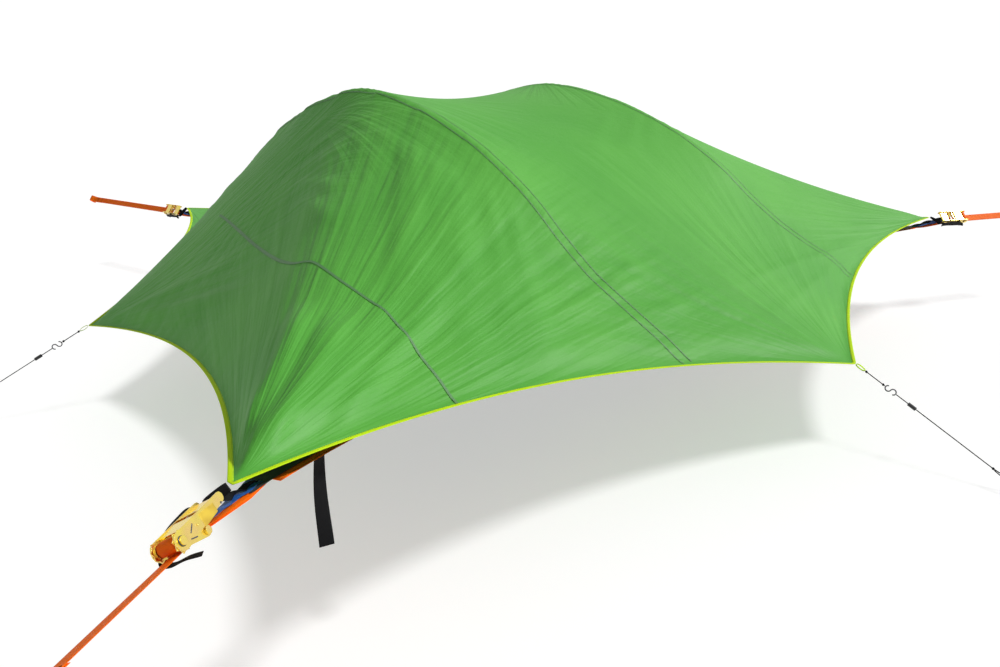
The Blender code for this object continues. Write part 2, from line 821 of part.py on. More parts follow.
def make_anti_roll_web():
    """Webbing sewn under the floor round the hatch, with an arm towards each corner."""
    low, high = WEB_TOP - STRAP_T, WEB_TOP
    ring = flat_slab([hatch_loop(HATCH_SIDE + 2 * ANTI_ROLL_W), hatch_loop(HATCH_SIDE)], low, high)
    parts = [ring]
    for angle, _, _, _ in CORNERS.values():
        run, across = polar(angle, 1.0), polar(angle + 90, ANTI_ROLL_W / 2)
        near = (HATCH_SIDE / 2 + ANTI_ROLL_W / 2) / max(abs(run.x), abs(run.y))
        far = CORNER_R - ANTI_ROLL_START
        outline = [(run * near - across), (run * far - across), (run * far + across), (run * near + across)]
        parts.append(flat_slab([[tuple(p.xy) for p in outline]], low, high))
    place("anti_roll_web", fused("anti_roll_web", parts, "black_webbing"), "black_webbing")


# Ratchet corners
WOUND_R0 = CORE_R + 0.0015
WOUND_R1 = WOUND_R0 + WOUND_TURNS * WOUND_STEP
WOUND_OUT = WOUND_R1 + STRAP_T / 2
DRUM_RISE = WOUND_OUT + GAP + STRAP_T / 2
BOLT_X = BOLT_OUT - DRUM_OUT
ARM_IN = INSIDE_W / 2 + PLATE_T + GAP + PLATE_T + GAP


def corner_matrix(name):
    """The frame of a corner: X along the pull, Y along the drum, Z up before the roll."""
    angle, roll, rise, _ = CORNERS[name]
    turn = Matrix.Rotation(math.radians(angle), 4, "Z")
    return turn @ Matrix.Translation((CORNER_R, 0, rise)) @ Matrix.Rotation(math.radians(roll), 4, "X")


def drum_matrix(name):
    return corner_matrix(name) @ Matrix.Translation((DRUM_OUT, 0, DRUM_RISE))


def fused(name, parts, finish):
    """One mesh from overlapping closed solids, joined by Boolean union."""
    made = []
    for i, part in enumerate(parts):
        made.append(place(f"{name}_piece_{i}", new_mesh(f"{name}_piece_{i}", *part), finish))
    base = made[0]
    for tool in made[1:]:
        join = base.modifiers.new(tool.name, "BOOLEAN")
        join.operation = "UNION"
        join.object = tool
    graph = bpy.context.evaluated_depsgraph_get()
    mesh = bpy.data.meshes.new_from_object(base.evaluated_get(graph))
    mesh.name = name
    for tool in made:
        bpy.data.objects.remove(tool, do_unlink=True)
    return mesh


def frame_parts():
    half = INSIDE_W / 2
    outline = capsule(0, 0, FRAME_DRUM_R, BOLT_X, -DRUM_RISE, FRAME_BOLT_R)
    bore = circle(0, 0, SHAFT_R + GAP, 12)
    bolt_hole = circle(BOLT_X, -DRUM_RISE, BOLT_R + GAP, 12)
    slot = lock_box(CUT_PAST / 4, CUT_PAST / 2 + LOCK_TRAVEL)
    hole = [(slot[1], slot[2]), (slot[0], slot[2]), (slot[0], slot[3]), (slot[1], slot[3])]
    plates = [
        plate(outline, [bore, bolt_hole, hole], half, half + PLATE_T),
        plate(outline, [bore, bolt_hole, hole], -half - PLATE_T, -half),
    ]
    seat_x = slot[1] - SPRING_L
    seat = box(
        (seat_x - SEAT_T, -half - CUT_PAST, -LOCK_DROP - PAWL_T / 2 - SEAT_H / 2),
        (seat_x, half + CUT_PAST, -LOCK_DROP - PAWL_T / 2 + SEAT_H / 2),
    )
    return [plates[0], seat, plates[1]]


def lock_box(clear, back):
    """Side limits of the lock pawl's slot, or of the pawl if clear is zero: x high, x low, z low, z high."""
    front = -(WHEEL_R + TOOTH_CLEAR)
    return (front + clear, front - LOCK_L - back - clear, -LOCK_DROP - PAWL_T - clear, -LOCK_DROP + clear)


def make_ratchet_meshes():
    """Meshes shared by the three ratchets, each round the drum's centre."""
    half = INSIDE_W / 2
    made = {"frame": fused("ratchet_frame", frame_parts(), "zinc_steel")}
    arm_end = ARM_IN + PLATE_T
    outline = capsule(0, 0, ARM_DRUM_R, -HANDLE_L, 0, ARM_TIP_R)
    bore = circle(0, 0, SHAFT_R + GAP, 12)
    grip_outline = capsule(-HANDLE_L, 0, GRIP_T / 2, -HANDLE_L + GRIP_L, 0, GRIP_T / 2, 5)
    grip = plate(grip_outline, [], -ARM_IN - CUT_PAST, ARM_IN + CUT_PAST)
    front = -math.sqrt((WHEEL_R + TOOTH_CLEAR) ** 2 - PAWL_LIFT**2)
    seat_x = front - PAWL_L - DRIVE_TRAVEL - SPRING_L
    seat = box(
        (seat_x - SEAT_T, -ARM_IN - CUT_PAST, PAWL_LIFT - SEAT_H / 2),
        (seat_x, ARM_IN + CUT_PAST, PAWL_LIFT + SEAT_H / 2),
    )
    handle = [plate(outline, [bore], ARM_IN, arm_end), grip, seat, plate(outline, [bore], -arm_end, -ARM_IN)]
    made["handle"] = fused("ratchet_handle", handle, "zinc_steel")
    count = WHEEL_TEETH * 2
    teeth = [WHEEL_R if i % 2 else WHEEL_ROOT_R for i in range(count)]
    wheel = half + PLATE_T + GAP
    nut = arm_end + GAP
    side = [
        (nut + NUT_T, NUT_R),
        (nut, NUT_R),
        (nut, SHAFT_R),
        (wheel + PLATE_T, SHAFT_R),
        (wheel + PLATE_T, teeth),
        (wheel, teeth),
        (wheel, SHAFT_R),
        (half - GAP * 2, SHAFT_R),
        (half - GAP * 2, CORE_R),
    ]
    rows = [(-along, radius) for along, radius in side] + [(along, radius) for along, radius in side[::-1]]
    made["drum"] = new_mesh("ratchet_drum", *turned(rows, count), smooth=True)
    steps = int(WOUND_TURNS * TURN_POINTS)
    winding = []
    for i in range(steps + 1):
        back = (steps - i) / TURN_POINTS
        a = -math.pi / 2 - 2 * math.pi * back
        r = WOUND_R1 - WOUND_STEP * back
        winding.append((r * math.cos(a), 0, r * math.sin(a)))
    wound = band(winding, Vector((0, 1, 0)), STRAP_W, STRAP_T)
    made["winding"] = new_mesh("drum_winding", *wound, smooth=True)
    gap = winding_gap(winding)
    print(f"least gap in a winding {gap * 1000:.2f} mm")
    drive = box(
        (front - PAWL_L, -ARM_IN + GAP, PAWL_LIFT),
        (front, ARM_IN - GAP, PAWL_LIFT + PAWL_T),
    )
    made["drive_pawl"] = new_mesh("drive_pawl", *drive)
    x_high, x_low, z_low, z_high = lock_box(0.0, 0.0)
    reach = half + PLATE_T + GAP + PLATE_T
    made["bolt"] = new_mesh("anchor_bolt", *anchor_bolt(), smooth=True)
    made["lock_pawl"] = new_mesh("lock_pawl", *box((x_low, -reach, z_low), (x_high, reach, z_high)))
    return made


def winding_gap(points):
    """Least clear space between neighbouring turns."""
    least = min(
        (Vector(p) - Vector(q)).length
        for i, p in enumerate(points)
        for q in points[i + TURN_POINTS // 2 + 1 :]
    )
    return least - STRAP_T


def anchor_bolt():
    head = INSIDE_W / 2 + PLATE_T + GAP
    rows = [
        (-head - BOLT_HEAD_T, BOLT_HEAD_R),
        (-head, BOLT_HEAD_R),
        (-head, BOLT_R),
        (head, BOLT_R),
        (head, BOLT_HEAD_R),
        (head + BOLT_HEAD_T, BOLT_HEAD_R),
    ]
    return moved(turned(rows, 12), Matrix.Translation((BOLT_X, 0, -DRUM_RISE)))


def corner_loop(name):
    """Doubled webbing from the floor's corner, twisted to the ratchet and round its bolt."""
    angle, roll, rise, _ = CORNERS[name]
    flat = Matrix.Rotation(math.radians(angle), 4, "Z")
    inner = CORNER_R - EDGE_START + GAP
    eye = BOLT_R + GAP + STRAP_T / 2
    bolt = CORNER_R + BOLT_OUT
    apart = STRAP_T * 0.75
    shares = [0.0] + [0.35 + 0.65 * i / 16 for i in range(16)]
    far = bolt - 4 * eye
    rows = []
    for s in shares + [1.0]:
        ease = max(0.0, (s - 0.35) / 0.65)
        rows.append((inner + (far - inner) * s, apart, ease))
    rows.append((bolt - eye, eye, 1.0))
    arc = [math.pi * 0.42 * (1 - i / 3) for i in range(7)]
    loop = []
    for x, off, ease in rows:
        loop.append((x, off, ease))
    for a in arc:
        loop.append((bolt + eye * math.cos(a), eye * math.sin(a), 1.0))
    for x, off, ease in rows[::-1]:
        loop.append((x, -off, ease))
    points, sides = [], []
    for x, off, ease in loop:
        turn = math.radians(roll) * ease
        base_z = (WEB_TOP - STRAP_T / 2 - STRAP_T * 0.75) * (1 - ease) + rise * ease
        up = Vector((0, -math.sin(turn), math.cos(turn)))
        points.append(flat @ (Vector((x, 0, base_z)) + up * off))
        sides.append(flat.to_3x3() @ Vector((0, math.cos(turn), math.sin(turn))))
    return band(points, sides, STRAP_W, STRAP_T)


def tree_strap(name):
    """Strap from under the winding to a sewn eye."""
    reach = CORNERS[name][3]
    start = DRUM_OUT - STRAP_T * 2
    low = STRAP_T + GAP * 2
    neck = reach - 2 * EYE_R
    points = [(start, 0, 0)]
    for i in range(1, 6):
        points.append((start + (neck - EYE_R * 1.6 - start) * i / 5, 0, 0))
    points.append((neck - EYE_R * 0.7, 0, EYE_R * 0.18))
    for i in range(11):
        a = math.radians(140) - math.radians(280) * i / 10
        points.append((neck + EYE_R + EYE_R * math.cos(a), 0, EYE_R * math.sin(a)))
    points.append((neck - EYE_R * 0.7, 0, -EYE_R * 0.18 - low / 2))
    points.append((neck - EYE_R * 1.6, 0, -low))
    points.append((neck - EYE_R * 1.6 - EYE_SEWN, 0, -low))
    return moved(band(points, Vector((0, 1, 0)), STRAP_W, STRAP_T), corner_matrix(name))


def fly_strap(name):
    """Black strap from the flysheet's corner, down the far side of the ratchet and under its pull."""
    angle, roll, rise, _ = CORNERS[name]
    off = -math.copysign(FLY_STRAP_OFF, roll)
    to_plan = corner_matrix(name)
    flat = Matrix.Rotation(math.radians(angle), 4, "Z")
    tip = CORNER_R + (GAP + BINDING_W) / MITRE_SHARE + 2 * GAP
    under = DRUM_RISE - WHEEL_R - FLY_STRAP_W / 2
    route = [flat @ Vector((tip, 0, FLY_RISE))]
    for along, across, over, beneath in FLY_STRAP_SHARES:
        spot = (DRUM_OUT * along, off * across, ARM_DRUM_R * over + under * beneath)
        route.append(to_plan @ Vector(spot))
    points = smooth_line(route, 25)
    turned_frame = to_plan.to_3x3()
    sides = []
    for i in range(len(points)):
        share = i / (len(points) - 1)
        if share < 0.25:
            ease = max(0.0, (share - 0.05) / 0.15)
            start = flat.to_3x3() @ Vector((0, 1 - ease, 0))
            sides.append(start + turned_frame @ Vector((0, 0, math.copysign(ease, off))))
        else:
            ease = min(1.0, max(0.0, (share - 0.45) / 0.22))
            sides.append(turned_frame @ Vector((ease, 0, math.copysign(1 - ease, off))))
    return band(points, sides, FLY_STRAP_W, STRAP_T)


def make_corners():
    meshes = make_ratchet_meshes()
    for name in CORNERS:
        drum = drum_matrix(name)
        raised = drum @ Matrix.Rotation(HANDLE_RAISE, 4, "Y")
        place("ratchet_frame_" + name, meshes["frame"], "zinc_steel", drum)
        place("ratchet_drum_" + name, meshes["drum"], "zinc_steel", drum)
        place("drum_winding_" + name, meshes["winding"], "orange_webbing", drum)
        place("anchor_bolt_" + name, meshes["bolt"], "zinc_steel", drum)
        place("ratchet_handle_" + name, meshes["handle"], "zinc_steel", raised)
        place("drive_pawl_" + name, meshes["drive_pawl"], "zinc_steel", raised)
        place("lock_pawl_" + name, meshes["lock_pawl"], "zinc_steel", drum)
        for piece, shape, finish in (
            ("corner_loop_", corner_loop, "orange_webbing"),
            ("tree_strap_", tree_strap, "orange_webbing"),
            ("fly_strap_", fly_strap, "black_webbing"),
        ):
            place(piece + name, new_mesh(piece + name, *shape(name)), finish)


# Poles and their sleeves
def make_poles():
    for name, line in HOOPS.items():
        tube("hoop_pole_" + name, [line], POLE_R, "pole_alloy")
        sleeve = new_mesh("pole_sleeve_" + name, *pole_sleeve(CANOPY_STATIONS[name]))
        place("pole_sleeve_" + name, sleeve, "black_webbing")


def pole_sleeve(stations):
    """A channel of fabric round the pole, open along its top, with a web down to the canopy's ridge."""
    skip = int(len(stations) * SLEEVE_END_SHARE)
    line = stations[skip : len(stations) - skip]
    inner, outer = POLE_R + POLE_CLEAR, POLE_R + POLE_CLEAR + SLEEVE_WALL
    lip, web = math.radians(50), math.radians(15)
    arc = [math.pi / 2 + lip + (math.pi - lip - web) * i / 4 for i in range(5)]
    left = [(outer * math.cos(t), outer * math.sin(t)) for t in arc]
    right = [(-x, z) for x, z in left[::-1]]
    bore = [(inner * math.cos(t), inner * math.sin(t)) for t in arc]
    ring = left + [(left[-1][0], None), (right[0][0], None)] + right
    ring += [(-x, z) for x, z in bore] + bore[::-1]
    reach = CANOPY_DROP - SHEET_T / 2 - GAP
    verts, faces = [], []
    for i, p in enumerate(line):
        run = line[min(i + 1, len(line) - 1)] - line[max(i - 1, 0)]
        flat = Vector((run.x, run.y, 0))
        side = Vector((run.y, -run.x, 0)).normalized()
        steep = run.length / flat.length
        for x, z in ring:
            verts.append(p + side * x + Vector((0, 0, -reach if z is None else z * steep)))
    count = len(ring)
    for i in range(len(line) - 1):
        for k in range(count):
            m = (k + 1) % count
            faces.append((i * count + k, i * count + m, (i + 1) * count + m, (i + 1) * count + k))
    faces.append(tuple(range(count))[::-1])
    last = (len(line) - 1) * count
    faces.append(tuple(range(last, last + count)))
    return verts, faces


# Guys
def guy_frame(name):
    """The frame of a guy: X outwards and down along the cord from the hem's corner."""
    angle, drop = GUYS[name]
    spot = polar(angle, GUY_R + BINDING_W) + Vector((0, 0, -drop))
    turn = Matrix.Rotation(math.radians(angle), 4, "Z")
    return Matrix.Translation(spot) @ turn @ Matrix.Rotation(GUY_SLOPE, 4, "Y")


def hook_points():
    """An S of two open bows, one for each cord."""
    near, far = HOOK_START + HOOK_BOW, HOOK_START + 3 * HOOK_BOW
    points = []
    for i in range(11):
        a = math.radians(110 + 250 * i / 10)
        points.append((near + HOOK_BOW * math.cos(a), 0, HOOK_BOW * math.sin(a)))
    for i in range(1, 11):
        a = math.radians(180 - 250 * i / 10)
        points.append((far + HOOK_BOW * math.cos(a), 0, HOOK_BOW * math.sin(a)))
    return points


def guy_loop(name):
    """A small sewn loop that stands out from the hem's binding."""
    ring = []
    middle = GUY_LOOP_L / 2
    for i in range(13):
        a = math.radians(165 - 330 * i / 12)
        ring.append((middle + middle * math.cos(a), 0, GUY_LOOP_W / 2 * math.sin(a)))
    return moved(band(ring, Vector((0, 1, 0)), GUY_LOOP_W, SHEET_T / 2), guy_frame(name))


def make_guys():
    for name in GUYS:
        frame = guy_frame(name)
        first = GUY_LOOP_L + SHEET_T / 4 + GAP
        last = HOOK_START - HOOK_R - GAP
        top = smooth_line([(first, 0, 0), ((first + last) / 2, 0, 0), (last, 0, 0)], 9)
        tube("guy_cord_top_" + name, [top], CORD_R, "cord_black", matrix=frame)
        tube("guy_hook_" + name, [hook_points()], HOOK_R, "dark_steel", 1, frame)
        start = HOOK_START + HOOK_BOW * 4 + HOOK_R + GAP
        side = LINE_LOOP_W / 2
        route = [(start, 0, 0), (RUNNER_AT, 0, 0), ((RUNNER_AT + LINE_KNOT) / 2, 0, 0), (LINE_KNOT, 0, 0)]
        line = smooth_line(route, 12)
        bow = [
            (LINE_KNOT, 0, 0),
            (LINE_KNOT + (LINE_END - LINE_KNOT) * 0.4, side * 0.8, 0),
            (LINE_END - side, side, 0),
            (LINE_END, 0, 0),
            (LINE_END - side, -side, 0),
            (LINE_KNOT + (LINE_END - LINE_KNOT) * 0.4, -side * 0.9, 0),
            (LINE_KNOT + CORD_R * 4, -CORD_R * 3, 0),
        ]
        line += smooth_line(bow, 22)[1:]
        tube("guy_line_" + name, [line], CORD_R, "cord_black", matrix=frame)
        bead = turned(
            [
                (-RUNNER_L / 2, RUNNER_R),
                (RUNNER_L / 2, RUNNER_R),
                (RUNNER_L / 2, CORD_R + GAP),
                (-RUNNER_L / 2, CORD_R + GAP),
            ],
            10,
            "X",
        )
        verts, faces = bead
        ring_faces = faces[:-2] + [(30 + i, 30 + (i + 1) % 10, (i + 1) % 10, i) for i in range(10)]
        runner = new_mesh("guy_runner_" + name, verts, ring_faces)
        place("guy_runner_" + name, runner, "black_plastic", frame @ Matrix.Translation((RUNNER_AT, 0, 0)))


def make_hanging_strap():
    """Black webbing that hangs from the front webbing near the left corner."""
    top = edge_point("front", TAIL_SHARE, 0.0) + Vector((0, 0, WEB_TOP - STRAP_T - TAIL_GAP))
    ahead = edge_point("front", TAIL_SHARE + 0.01) - edge_point("front", TAIL_SHARE - 0.01)
    shares = (0.0, 0.08, 0.16, 0.26, 0.36, 0.46, 0.56, 0.66, 0.76, 0.86, 0.93, 1.0)
    points = [(0, STRAP_T * 2 * math.sin(4 * s), -TAIL_L * s) for s in shares]
    first = Vector((ahead.x, ahead.y, 0)).normalized()
    turn = Matrix.Rotation(math.atan2(first.y, first.x), 4, "Z")
    sides = [Matrix.Rotation(-TAIL_TURN * s, 3, "Z") @ Vector((1, 0, 0)) for s in shares]
    strap = band(points, sides, STRAP_W, TAIL_T)
    place("hanging_strap", new_mesh("hanging_strap", *strap), "black_webbing", Matrix.Translation(top) @ turn)


make_cloth()
make_binding()
make_floor()
make_edge_straps()
make_corners()
make_poles()
make_guys()
make_hanging_strap()
print(len([o for o in bpy.data.objects if not o.hide_render]), "pieces")
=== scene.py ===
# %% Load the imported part
import json
import math

import bpy
import numpy as np
from mathutils import Matrix, Vector
from mathutils.bvhtree import BVHTree


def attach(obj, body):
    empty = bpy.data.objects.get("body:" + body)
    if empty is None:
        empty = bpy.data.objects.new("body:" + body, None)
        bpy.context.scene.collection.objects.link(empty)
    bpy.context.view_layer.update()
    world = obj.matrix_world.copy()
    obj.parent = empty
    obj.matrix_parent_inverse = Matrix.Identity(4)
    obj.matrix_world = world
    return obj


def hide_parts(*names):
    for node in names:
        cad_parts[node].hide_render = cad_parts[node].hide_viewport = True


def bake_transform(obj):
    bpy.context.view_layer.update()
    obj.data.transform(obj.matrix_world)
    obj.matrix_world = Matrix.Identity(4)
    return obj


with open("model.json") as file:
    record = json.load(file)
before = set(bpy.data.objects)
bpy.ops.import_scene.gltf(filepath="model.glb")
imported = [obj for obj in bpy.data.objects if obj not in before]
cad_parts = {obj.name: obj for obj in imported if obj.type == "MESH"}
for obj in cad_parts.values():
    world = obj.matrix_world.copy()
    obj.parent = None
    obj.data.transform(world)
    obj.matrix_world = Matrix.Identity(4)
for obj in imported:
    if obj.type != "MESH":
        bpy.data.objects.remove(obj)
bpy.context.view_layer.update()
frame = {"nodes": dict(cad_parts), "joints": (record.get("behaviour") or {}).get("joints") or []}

nodes = frame["nodes"]

# %% [markdown]
# Every finish is a small graph of shader nodes. It could be drawn by hand in the node editor, but sums
# of waves and noise are easier to read as Python. So a `Sock` stands for one value in a graph, and
# adding or multiplying it makes the matching Math node.


# %% Values in a node graph
class Sock:
    """One value in a node graph, which ordinary arithmetic works on."""

    def __init__(self, tree, socket):
        self.tree, self.socket = tree, socket

    def math(self, operation, *others):
        values = dict(enumerate((self, *others)))
        return add_node(self.tree, "ShaderNodeMath", {"operation": operation}, values)

    def __add__(self, other):
        return self.math("ADD", other)

    def __sub__(self, other):
        return self.math("SUBTRACT", other)

    def __mul__(self, other):
        return self.math("MULTIPLY", other)

    __radd__, __rmul__ = __add__, __mul__

    def __rsub__(self, other):
        return (self * -1) + other

    def sin(self):
        return self.math("SINE")

    def abs(self):
        return self.math("ABSOLUTE")

    def clamp(self):
        return self.math("MINIMUM", 1.0).math("MAXIMUM", 0.0)

    def colours(self, low, high):
        """A colour between two, by this value."""
        ends = {0: self.clamp(), 6: (*low, 1), 7: (*high, 1)}
        return add_node(self.tree, "ShaderNodeMix", {"data_type": "RGBA"}, ends, out=2)


def fill(socket, value):
    """Links a Sock to a socket, or writes a plain value in it."""
    if isinstance(value, Sock):
        value.tree.links.new(value.socket, socket)
    else:
        socket.default_value = value


def add_node(tree, kind, settings, inputs, out=0):
    """A node of any kind: first its settings, then the values or links of its sockets. Gives one output."""
    node = tree.nodes.new(kind)
    for name, value in settings.items():
        setattr(node, name, value)
    for name, value in inputs.items():
        fill(node.inputs[name], value)
    return Sock(tree, node.outputs[out])


# %% A finish
FINISHES = {}


class Finish:
    """A Principled material whose inputs take numbers, colours or Sock values."""

    def __init__(self, name, colour, roughness, metallic=0.0):
        self.made = FINISHES[name] = bpy.data.materials.new(name)
        self.made.use_nodes = True
        self.tree = self.made.node_tree
        self.shader = self.tree.nodes["Principled BSDF"]
        self.set("Base Color", (*colour, 1))
        self.set("Roughness", roughness)
        self.set("Metallic", metallic)

    def set(self, name, value):
        fill(self.shader.inputs[name], value)

    def node(self, kind, inputs, out=0):
        return add_node(self.tree, kind, {}, inputs, out)

    def axes(self, kind):
        """X, Y and Z of the Object or UV coordinates."""
        split = self.node("ShaderNodeSeparateXYZ", {"Vector": self.node("ShaderNodeTexCoord", {}, kind)})
        return [Sock(self.tree, out) for out in split.socket.node.outputs]

    def noise(self, scale, detail, stretch=(1, 1, 1)):
        """Soft random values from 0 to 1, by place on the object."""
        place = self.node("ShaderNodeTexCoord", {}, "Object")
        place = self.node("ShaderNodeMapping", {"Vector": place, "Scale": stretch})
        return self.node("ShaderNodeTexNoise", {"Vector": place, "Scale": scale, "Detail": detail}, "Fac")

    def bump(self, height, distance):
        self.set("Normal", self.node("ShaderNodeBump", {"Distance": distance, "Height": height}))


print("shader helpers are ready")

# %% [markdown]
# Webbing is a flat woven tape and the floor is coated cloth. Their threads could be modelled, but at
# this distance they only break up the light, so waves in a Bump node stand for them. On webbing the
# waves follow the tape's own UV, which is in metres, and on cloth they follow X and Y of the object.


# %% Woven finishes
# Radians of each wave to a metre
RIBS, TWILL_ACROSS, TWILL_ALONG, NET_WIRES = 2600.0, 1500.0, 1900.0, 2400.0


def webbing(name, low, high, rough=0.62):
    """Flat woven tape: lengthwise ribs with a twill across them, from the tape's own UV in metres."""
    made = Finish(name, high, rough)
    made.set("Specular IOR Level", 0.15)
    across, along, _ = made.axes("UV")
    ribs = (across * RIBS).sin() * 0.5 + 0.5
    twill = ((across * TWILL_ACROSS) + (along * TWILL_ALONG)).sin() * 0.5 + 0.5
    height = ribs * 0.5 + twill * 0.5
    wear = made.noise(9.0, 4.0)
    made.set("Base Color", (height * 0.55 + wear * 0.6).colours(low, high))
    made.bump(height, 0.0006)


def ripstop(x, y, rate, sharpness):
    """Narrow ridges along X and Y: the square grid of thick threads that stops a tear."""
    return (x * rate).sin().abs().math("POWER", sharpness) + (y * rate).sin().abs().math("POWER", sharpness)


def fabric(name, low, high, rough, crinkle):
    """Coated plain cloth: a faint ripstop grid, soft cloudy colour and fine crinkles."""
    made = Finish(name, high, rough)
    x, y, _ = made.axes("Object")
    cloud = made.noise(1.7, 5.0)
    fine = made.noise(26.0, 6.0, (1.0, 1.0, 2.5))
    made.set("Base Color", (cloud * 1.7 - 0.35).colours(low, high))
    made.set("Roughness", made.noise(6.0, 3.0) * 0.16 + (rough - 0.08))
    made.bump(ripstop(x, y, 900.0, 24.0) * 0.05 + fine * crinkle, 0.004)


def netting(name, colour, wire, clear):
    """Insect mesh: a grid of holes that let part of the light through."""
    made = Finish(name, colour, 0.8)
    x, y, _ = made.axes("Object")
    holes = (x * NET_WIRES).sin().abs() * (y * NET_WIRES).sin().abs()
    made.set("Alpha", 1.0 - holes.math("GREATER_THAN", wire) * clear)


fabric("seam_green", (0.05, 0.17, 0.045), (0.08, 0.24, 0.065), 0.55, 0.3)
fabric("floor_grey", (0.03, 0.033, 0.036), (0.06, 0.065, 0.07), 0.55, 0.4)
fabric("patch_blue", (0.01, 0.06, 0.30), (0.02, 0.14, 0.50), 0.5, 0.6)
webbing("tape_neon", (0.38, 0.62, 0.0), (0.62, 0.86, 0.01))
webbing("tape_orange", (1.0, 0.075, 0.0), (1.0, 0.22, 0.0))
webbing("tape_black", (0.0015, 0.0015, 0.002), (0.008, 0.008, 0.009), 0.8)
webbing("cord_black", (0.001, 0.001, 0.0015), (0.006, 0.006, 0.007), 0.8)
netting("canopy_net", (0.03, 0.03, 0.033), 0.32, 0.55)
print(len(FINISHES), "woven finishes")

# %% [markdown]
# The ratchets are pressed steel with a yellow zinc plating that lies in faint clouds. Real edges are
# slightly round, which a CAD edge isn't. They could be bevelled in the mesh, but the Bevel node softens
# only the shading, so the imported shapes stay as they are.


# %% Hard finishes
EDGE_SOFTNESS = 0.0008


def metal(name, low, high, rough):
    """Plated steel: cloudy plating over a fine grain, with edges softened by the Bevel node."""
    made = Finish(name, high, rough, 1.0)
    made.set("Base Color", (made.noise(30.0, 2.0) * 1.6 - 0.3).colours(low, high))
    made.set("Roughness", made.noise(60.0, 2.0) * 0.10 + (rough - 0.05))
    made.set("Normal", made.node("ShaderNodeBevel", {"Radius": EDGE_SOFTNESS}))


def plastic(name, colour, rough):
    """Moulded plastic with a finely pitted skin."""
    made = Finish(name, colour, rough)
    made.set("Roughness", made.noise(300.0, 2.0) * 0.2 + (rough - 0.1))
    made.bump(made.noise(900.0, 2.0), 0.0002)


metal("zinc", (1.0, 0.68, 0.28), (1.0, 0.86, 0.10), 0.24)
# A darker copy of the zinc: painted shade for the angled face where the handle bends
metal("zinc_painted_shade", (0.62, 0.40, 0.06), (0.85, 0.62, 0.08), 0.35)
metal("alloy", (0.42, 0.43, 0.46), (0.62, 0.64, 0.67), 0.28)
# Dark steel for hooks, zips and washers. On the ratchet plates it is also painted shade in the slots and in
# the hole at the handle's tip
metal("dark_steel", (0.07, 0.07, 0.08), (0.18, 0.18, 0.19), 0.35)
plastic("toggle_black", (0.012, 0.012, 0.013), 0.45)
print(len(FINISHES), "finishes so far")

# %% [markdown]
# The flysheet is coated green cloth, and where a strap, guy or pole holds it, fine wrinkles run straight
# out. Modelling each would take millions of faces. A noise texture does it in the Bump node instead: its
# first coordinate is the angle round the held point and its second the distance, so it draws rays.

# %% The flysheet's finish
# Each held point: its place in plan, how far its wrinkles reach, and how close they stand
HELD_POINTS = (
    ((-2.05, -1.18), 1.9, 26.0),
    ((-1.38, 0.80), 1.25, 20.0),
    ((0.0, 2.37), 1.5, 22.0),
    ((2.05, -1.18), 1.5, 22.0),
    ((0.0, -1.59), 1.1, 13.0),
    ((1.38, 0.80), 1.2, 18.0),
    ((-0.66, 0.25), 0.8, 15.0),
    ((0.66, 0.25), 0.6, 13.0),
)


def tension(made, x, y, origin, reach, density, seed):
    """Wrinkles that run straight out from one point and die away at the given reach."""
    dx, dy = x - origin[0], y - origin[1]
    far = ((dx * dx) + (dy * dy)).math("SQRT")
    angle = dy.math("ARCTAN2", dx) * density
    place = made.node("ShaderNodeCombineXYZ", {"X": angle, "Y": far * 1.1, "Z": seed})
    grain = {"Vector": place, "Scale": 1.0, "Detail": 3.0, "Roughness": 0.45}
    waves = made.node("ShaderNodeTexNoise", grain, "Fac") - 0.5
    fade = (1.0 - far * (1 / reach)).clamp() * (far * 5.0).clamp()
    return waves * fade.math("SQRT") * far.math("POWER", 0.7)


def flysheet_finish():
    """Clouds of green, a ripstop grid, crinkles, and tension wrinkles from each held point, with painted
    light and shade.
    """
    made = Finish("fly_green", (0.10, 0.42, 0.06), 0.4)
    x, y, _ = made.axes("Object")
    made.set("Specular IOR Level", 0.13)
    height = made.noise(30.0, 5.0, (1.0, 1.0, 2.0)) * 0.07
    for k, (origin, reach, density) in enumerate(HELD_POINTS):
        height = height + tension(made, x, y, origin, reach, density, k * 7.3)
    made.bump(height + ripstop(x, y, 700.0, 30.0) * 0.004, 0.019)
    cloud = made.noise(1.4, 5.0) * 1.6 - 0.3
    # Painted light and shade: lighter where the wrinkle heights rise and darker where they sink, on top of
    # the random green clouds
    made.set("Base Color", (cloud + height * 0.8).colours((0.058, 0.29, 0.030), (0.112, 0.41, 0.056)))
    made.set("Roughness", made.noise(5.0, 3.0) * 0.12 + 0.46)
    made.set("Coat Weight", 0.03)
    made.set("Coat Roughness", 0.3)


flysheet_finish()
print(len(HELD_POINTS), "held points wrinkle the flysheet")

# %% [markdown]
# The camera stands where the photograph was taken: low, beyond the near corner's left side. It could be
# placed by eye, but then nothing would line up. These angles and lens were fitted to the photograph's
# corners, so a pixel there and a pixel here are the same spot.

# %% Camera
PHOTO_W, PHOTO_H = 1000, 667
SENSOR_MM = 36
YAW, PITCH, ROLL = 0.8534, 0.27236, -0.0153
EYE = Vector((-2.9191, -2.6136, 0.7734))
LENS_PX = 923.75
look = Vector((math.sin(YAW) * math.cos(PITCH), math.cos(YAW) * math.cos(PITCH), -math.sin(PITCH)))
level = Vector((math.cos(YAW), -math.sin(YAW), 0))
over = level.cross(look)
right = level * math.cos(ROLL) + over * math.sin(ROLL)
up = over * math.cos(ROLL) - level * math.sin(ROLL)
camera = bpy.data.objects.new("camera", bpy.data.cameras.new("camera"))
bpy.context.scene.collection.objects.link(camera)
camera.data.lens = LENS_PX * SENSOR_MM / PHOTO_W
camera.data.clip_start, camera.data.clip_end = 0.05, 200
camera.matrix_world = Matrix.Translation(EYE) @ Matrix((right, up, -look)).transposed().to_4x4()
bpy.context.scene.camera = camera
bpy.context.scene.view_settings.view_transform = "Standard"
print("camera at", tuple(EYE))

